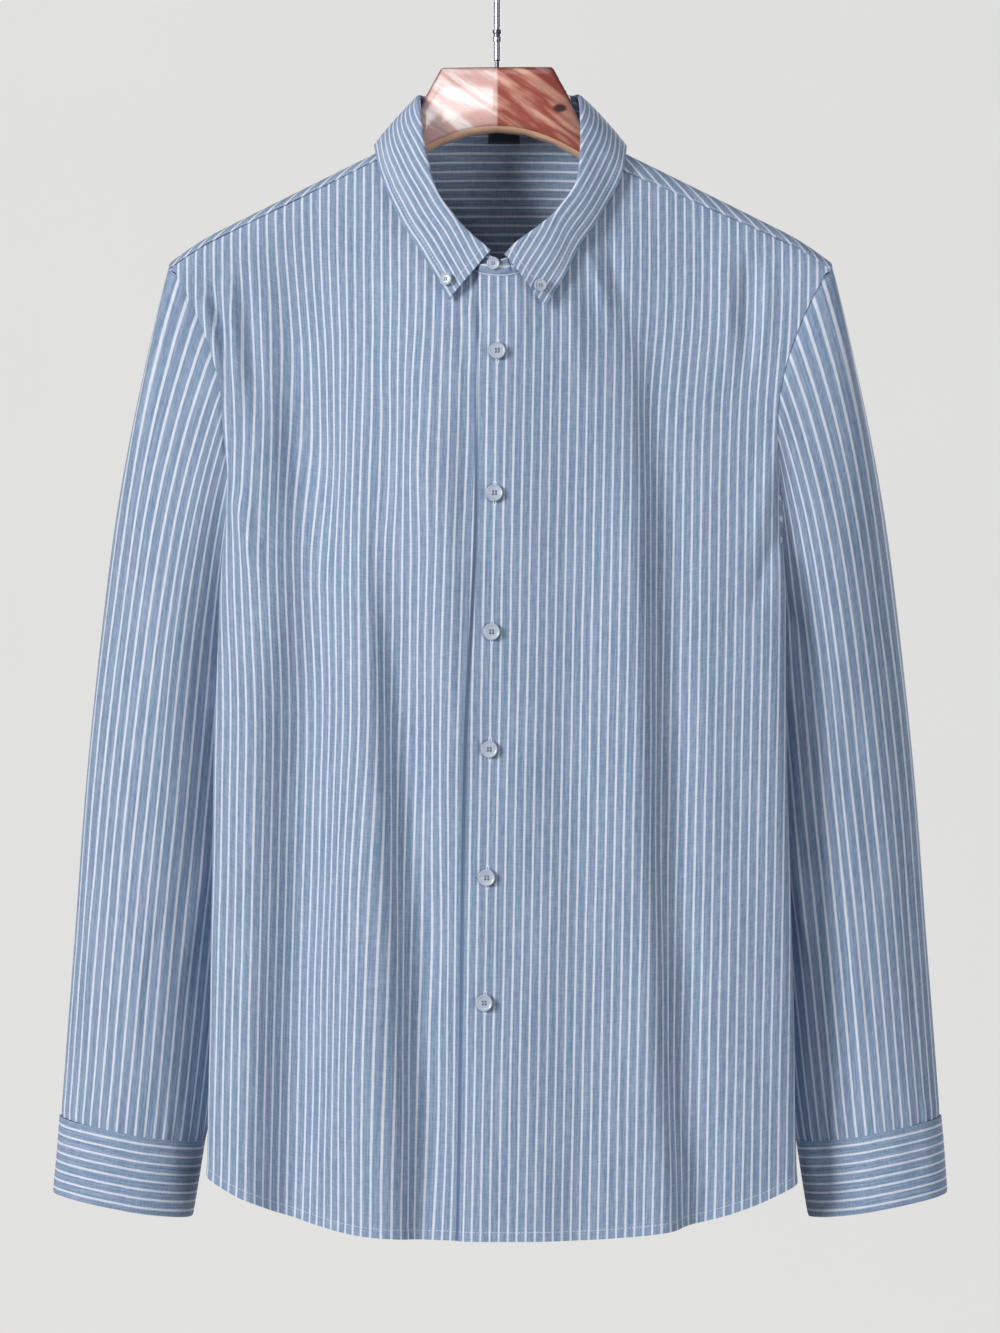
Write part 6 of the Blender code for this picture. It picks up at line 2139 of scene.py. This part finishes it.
@dataclass
class Hanger:
    """The wooden hanger: a bow of rounded section, flat-faced at its neck."""

    shoulder: Shoulder
    neck: tuple = (
        (0.0, -0.095, -0.141, 0.0155),
        (0.02, -0.095, -0.1432, 0.0136),
        (0.0385, -0.0951, -0.1492, 0.0118),
        (0.0403, -0.0966, -0.15, 0.0117),
        (0.0525, -0.1185, -0.1563, 0.0112),
        (0.059, -0.1335, -0.1605, 0.0108),
    )
    stations: tuple = (0.0665, 0.08, 0.11, 0.14, 0.17, 0.195, 0.209, 0.2165, 0.2205)
    height: float = 0.0245
    half_depth: float = 0.011
    rest: float = 0.0032
    end_round: float = 0.012
    tilt: float = 0.0083
    round_share: float = 0.3
    least: float = 0.12

    def sections(self) -> list[tuple[float, float, float, float]]:
        """The sections from the middle out: x, middle level, height and depth."""
        rows = []
        for low, high in zip(self.neck, self.neck[1:]):
            for share in np.linspace(0, 1, 4, endpoint=False):
                rows.append(tuple(a + (b - a) * share for a, b in zip(low, high)))
        rows.append(self.neck[-1])
        for x in self.stations:
            top = float(self.shoulder.z(x)) - self.rest
            near = max(0.0, 1 - (self.stations[-1] - x) / self.end_round)
            size = math.sqrt(max(1 - near**2, self.least))
            middle = top - self.height / 2
            half = self.height / 2 * size
            rows.append((x, middle + half, middle - half, self.half_depth * size))
        return [(x, (t + b) / 2, t - b, 2 * d) for x, t, b, d in rows]

    def build(self, surface: bpy.types.Material) -> None:
        """Makes the hanger in its wood."""
        half = self.sections()
        rows = [(-x, *rest) for x, *rest in half[:0:-1]] + half
        x, level, tall, deep = rows[0]
        Bench.clear()
        place = {"location": (x, 0, level + self.tilt * x), "rotation": (0, math.pi / 2, 0)}
        bpy.ops.mesh.primitive_plane_add(size=1, **place)
        Bench.edit()
        bpy.ops.transform.resize(value=(1, deep, tall))
        corner = min(deep, tall) * self.round_share
        bpy.ops.mesh.bevel(offset=corner, segments=4, affect="VERTICES", profile=0.5)
        for (x0, l0, t0, d0), (x1, l1, t1, d1) in zip(rows, rows[1:]):
            Bench.pull((x1 - x0, 0, l1 - l0 + self.tilt * (x1 - x0)))
            middle = (x1, 0, l1 + self.tilt * x1)
            bpy.ops.transform.resize(value=(1, d1 / d0, t1 / t0), center_override=middle)
        Bench.leave()
        made = Bench.finish("hanger_arms_wood", surface, 30)
        show(made, "hanger_arms")


@dataclass
class Hook:
    """The swivelling wire hook and the turned collars at its foot."""

    wire: float = 0.0023
    inner: float = 0.018
    tip: float = 200.0
    back: float = -50.0
    neck: float = -0.049
    foot: float = -0.0665
    handle: float = 0.007
    collars: tuple = (
        (0.0016, -0.0947),
        (0.0016, -0.0902),
        (0.0023, -0.0898),
        (0.0023, -0.0764),
        (0.0029, -0.0761),
        (0.0029, -0.0732),
        (0.0024, -0.0729),
        (0.0024, -0.0709),
        (0.0031, -0.0704),
        (0.0031, -0.0682),
        (0.002, -0.0678),
        (0.002, -0.0668),
    )

    def line(self) -> np.ndarray:
        """The hook's centre line in the plane of the arms, from its open tip to its foot: x and z."""
        radius = self.inner + self.wire
        turns = np.radians(np.linspace(self.tip, self.back, 49))
        arc = np.stack([radius * np.cos(turns), -self.inner + radius * np.sin(turns)], -1)
        last = turns[-1]
        run = np.array((math.sin(last), -math.cos(last)))
        end = np.array((0.0, self.neck))
        handles = (arc[-1], arc[-1] + run * self.handle, end + np.array((0.0, self.handle)), end)
        t = np.linspace(0, 1, 15)[1:, None]
        shares = ((1 - t) ** 3, 3 * t * (1 - t) ** 2, 3 * t * t * (1 - t), t**3)
        neck = sum(share * handle for share, handle in zip(shares, handles))
        return np.concatenate([arc, neck, [[0.0, self.foot]]])

    def build(self, wire_metal: bpy.types.Material, collar_metal: bpy.types.Material) -> None:
        """Makes the hook and its collars in their metals."""
        line = self.line()
        run = unit(np.gradient(line, axis=0))
        turns = np.unwrap(np.arctan2(run[:, 1], run[:, 0]))
        Bench.clear()
        first = (line[0, 0], 0, line[0, 1])
        place = {"location": first, "rotation": (0, math.pi / 2 - turns[0], 0)}
        bpy.ops.mesh.primitive_circle_add(vertices=24, radius=self.wire, fill_type="NGON", **place)
        Bench.settle()
        Bench.edit()
        for k in range(1, len(line)):
            step = line[k] - line[k - 1]
            Bench.pull((step[0], 0, step[1]))
            spin = Matrix.Rotation(-(turns[k] - turns[k - 1]), 4, "Y")
            centre = Vector((line[k, 0], 0, line[k, 1]))
            shape = bmesh.from_edit_mesh(bpy.context.object.data)
            chosen = [v for v in shape.verts if v.select]
            bmesh.ops.rotate(shape, verts=chosen, cent=centre, matrix=spin.to_3x3())
            bmesh.update_edit_mesh(bpy.context.object.data)
        Bench.pick("EDGE", lambda middle, normal: (middle - Vector(first)).length < self.wire * 1.02)
        bpy.ops.mesh.bevel(offset=self.wire * 0.6, segments=4, affect="EDGES")
        Bench.leave()
        show(Bench.finish("hanger_hook_wire", wire_metal, 40), "hanger_hook")
        Bench.clear()
        radius, level = self.collars[0]
        place = {"location": (0, 0, level)}
        bpy.ops.mesh.primitive_circle_add(vertices=40, radius=radius, fill_type="NGON", **place)
        Bench.settle()
        Bench.edit()
        for (r0, z0), (r1, z1) in zip(self.collars, self.collars[1:]):
            Bench.pull((0, 0, z1 - z0))
            bpy.ops.transform.resize(value=(r1 / r0, r1 / r0, 1), center_override=(0, 0, z1))
        Bench.leave()
        show(Bench.finish("hanger_ferrule_metal", collar_metal, 30), "hanger_ferrule")


# --- Studio ---


@dataclass
class Studio:
    """The pale sweep, the soft lights and the camera."""

    middle: tuple[float, float, float] = (0.0021, 0.0, -0.52)
    distance: float = 4.0
    seen: float = 0.9464
    sensor: float = 36
    floor: float = -2.9
    wall: float = 6.5
    wall_height: float = 6
    width: float = 14
    bend: float = 0.9
    air: tuple = (0.97, 0.98, 1.0, 1.0)
    air_strength: float = 0.12
    # Each lamp's name, place, side, power in watts and colour
    lamps: tuple = (
        ("key_light", (-9.9, -7.7, 2.6), 4.4, 1470, (1.0, 0.995, 0.98)),
        ("sheen_light", (-0.83, -3.9, 0.3), 0.8, 12, (1.0, 0.99, 0.98)),
        ("fill_light", (2.9, -2.7, -0.7), 2.2, 54, (0.96, 0.98, 1.0)),
        ("back_light", (2.2, 3.6, 0.1), 2.0, 70, (1.0, 1.0, 1.0)),
        ("top_light", (0.1, -0.6, 2.0), 1.4, 6, (1.0, 1.0, 1.0)),
    )

    def sweep(self, surface: bpy.types.Material) -> None:
        """Makes the floor, the wall and the curve between them."""
        Bench.clear()
        bpy.ops.mesh.primitive_plane_add(size=1, location=(0, 0, self.floor))
        Bench.edit()
        bpy.ops.transform.resize(value=(self.width, self.width, 1))
        bpy.ops.transform.translate(value=(0, self.wall - self.width / 2, 0))
        near_wall, near_floor = self.wall - 0.01, self.floor + 0.01
        Bench.pick("EDGE", lambda middle, normal: middle.y > near_wall)
        Bench.pull((0, 0, self.wall_height))
        Bench.pick("EDGE", lambda middle, normal: middle.y > near_wall and middle.z < near_floor)
        bpy.ops.mesh.bevel(offset=self.bend, segments=16, affect="EDGES")
        Bench.leave()
        Bench.finish("studio_sweep", surface, 60)

    def lamp(self, name: str, place: tuple, size: float, power: float, tint: tuple) -> None:
        """A soft square lamp that faces the shirt.

        Args:
            name: its name.
            place: where it stands.
            size: its side.
            power: in watts.
            tint: its colour.
        """
        light = bpy.data.lights.new(name, "AREA")
        light.shape = "SQUARE"
        light.size = size
        light.energy = power
        light.color = tint
        made = bpy.data.objects.new(name, light)
        made.location = place
        aim = Vector(self.middle) - Vector(place)
        made.rotation_euler = aim.to_track_quat("-Z", "Y").to_euler()
        bpy.context.scene.collection.objects.link(made)

    def build(self, surface: bpy.types.Material) -> None:
        """Sets up the backdrop, the lights, the camera and the way colours are shown."""
        self.sweep(surface)
        for lamp in self.lamps:
            self.lamp(*lamp)
        scene = bpy.context.scene
        world = bpy.data.worlds.new("studio_air")
        world.use_nodes = True
        air = world.node_tree.nodes["Background"]
        air.inputs["Color"].default_value = self.air
        air.inputs["Strength"].default_value = self.air_strength
        scene.world = world
        scene.view_settings.view_transform = "Standard"
        view = bpy.data.cameras.new("front_view")
        view.sensor_fit = "VERTICAL"
        view.sensor_height = self.sensor
        view.lens = self.sensor * self.distance / self.seen
        camera = bpy.data.objects.new("front_view", view)
        x, y, z = self.middle
        camera.location = (x, y - self.distance, z)
        camera.rotation_euler = (math.pi / 2, 0, 0)
        scene.collection.objects.link(camera)
        scene.camera = camera


def main() -> None:
    """Builds the shirt, its hanger and the studio, in order."""
    logging.basicConfig(level=logging.INFO, format="%(message)s")
    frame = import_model()
    cut = Pattern(BodyForm())
    cloth = {
        Side.LEFT: StripedCloth("front_left_stripe", stitch_in=HEM_STITCH, buttonholes=True).material(),
        Side.RIGHT: StripedCloth("front_right_stripe", stitch_in=HEM_STITCH, under_lap=True).material(),
    }
    plain = StripedCloth("body_stripe", stitch_in=HEM_STITCH).material()
    yoke_cloth = StripedCloth("yoke_stripe", stitch_in=0.0014).material()
    sleeve_cloth = StripedCloth("sleeve_stripe").material()
    cuff_cloth = StripedCloth("cuff_stripe", phase=0.2, stitch_in=0.0045).material()
    leaf_look = StripedCloth("leaf_stripe", pitch=0.005, phase=0.45, line=0.0013, stitch_in=0.0055)
    fronts, back, yoke, sleeves = Fronts(cut), Back(cut), Yoke(cut), Sleeves(cut)
    sheets = dict(fronts.build(cloth))
    sheets["back"] = back.build(plain)
    sheets["yoke"] = yoke.build(yoke_cloth)
    arms = sleeves.build(sheets, (fronts.rows[1], back.rows[1]), sleeve_cloth)
    Cuffs(sleeves).build(cuff_cloth)
    Plackets().build(arms, sleeves.round, cuff_cloth)
    stand = Collar(cut).build(yoke_cloth, leaf_look.material())
    NeckLabel().build(stand, LabelCloth().material())
    Buttons(ButtonResin().material(), SewingThread().material()).build(frame["nodes"], BUTTONS)
    Hanger(cut.form.shoulder).build(LacqueredWood().material())
    Hook().build(PlatedSteel("hook_plating").material(), PlatedSteel("collar_plating").material())
    Studio().build(StudioPaper().material())


if __name__ == "__main__":
    main()
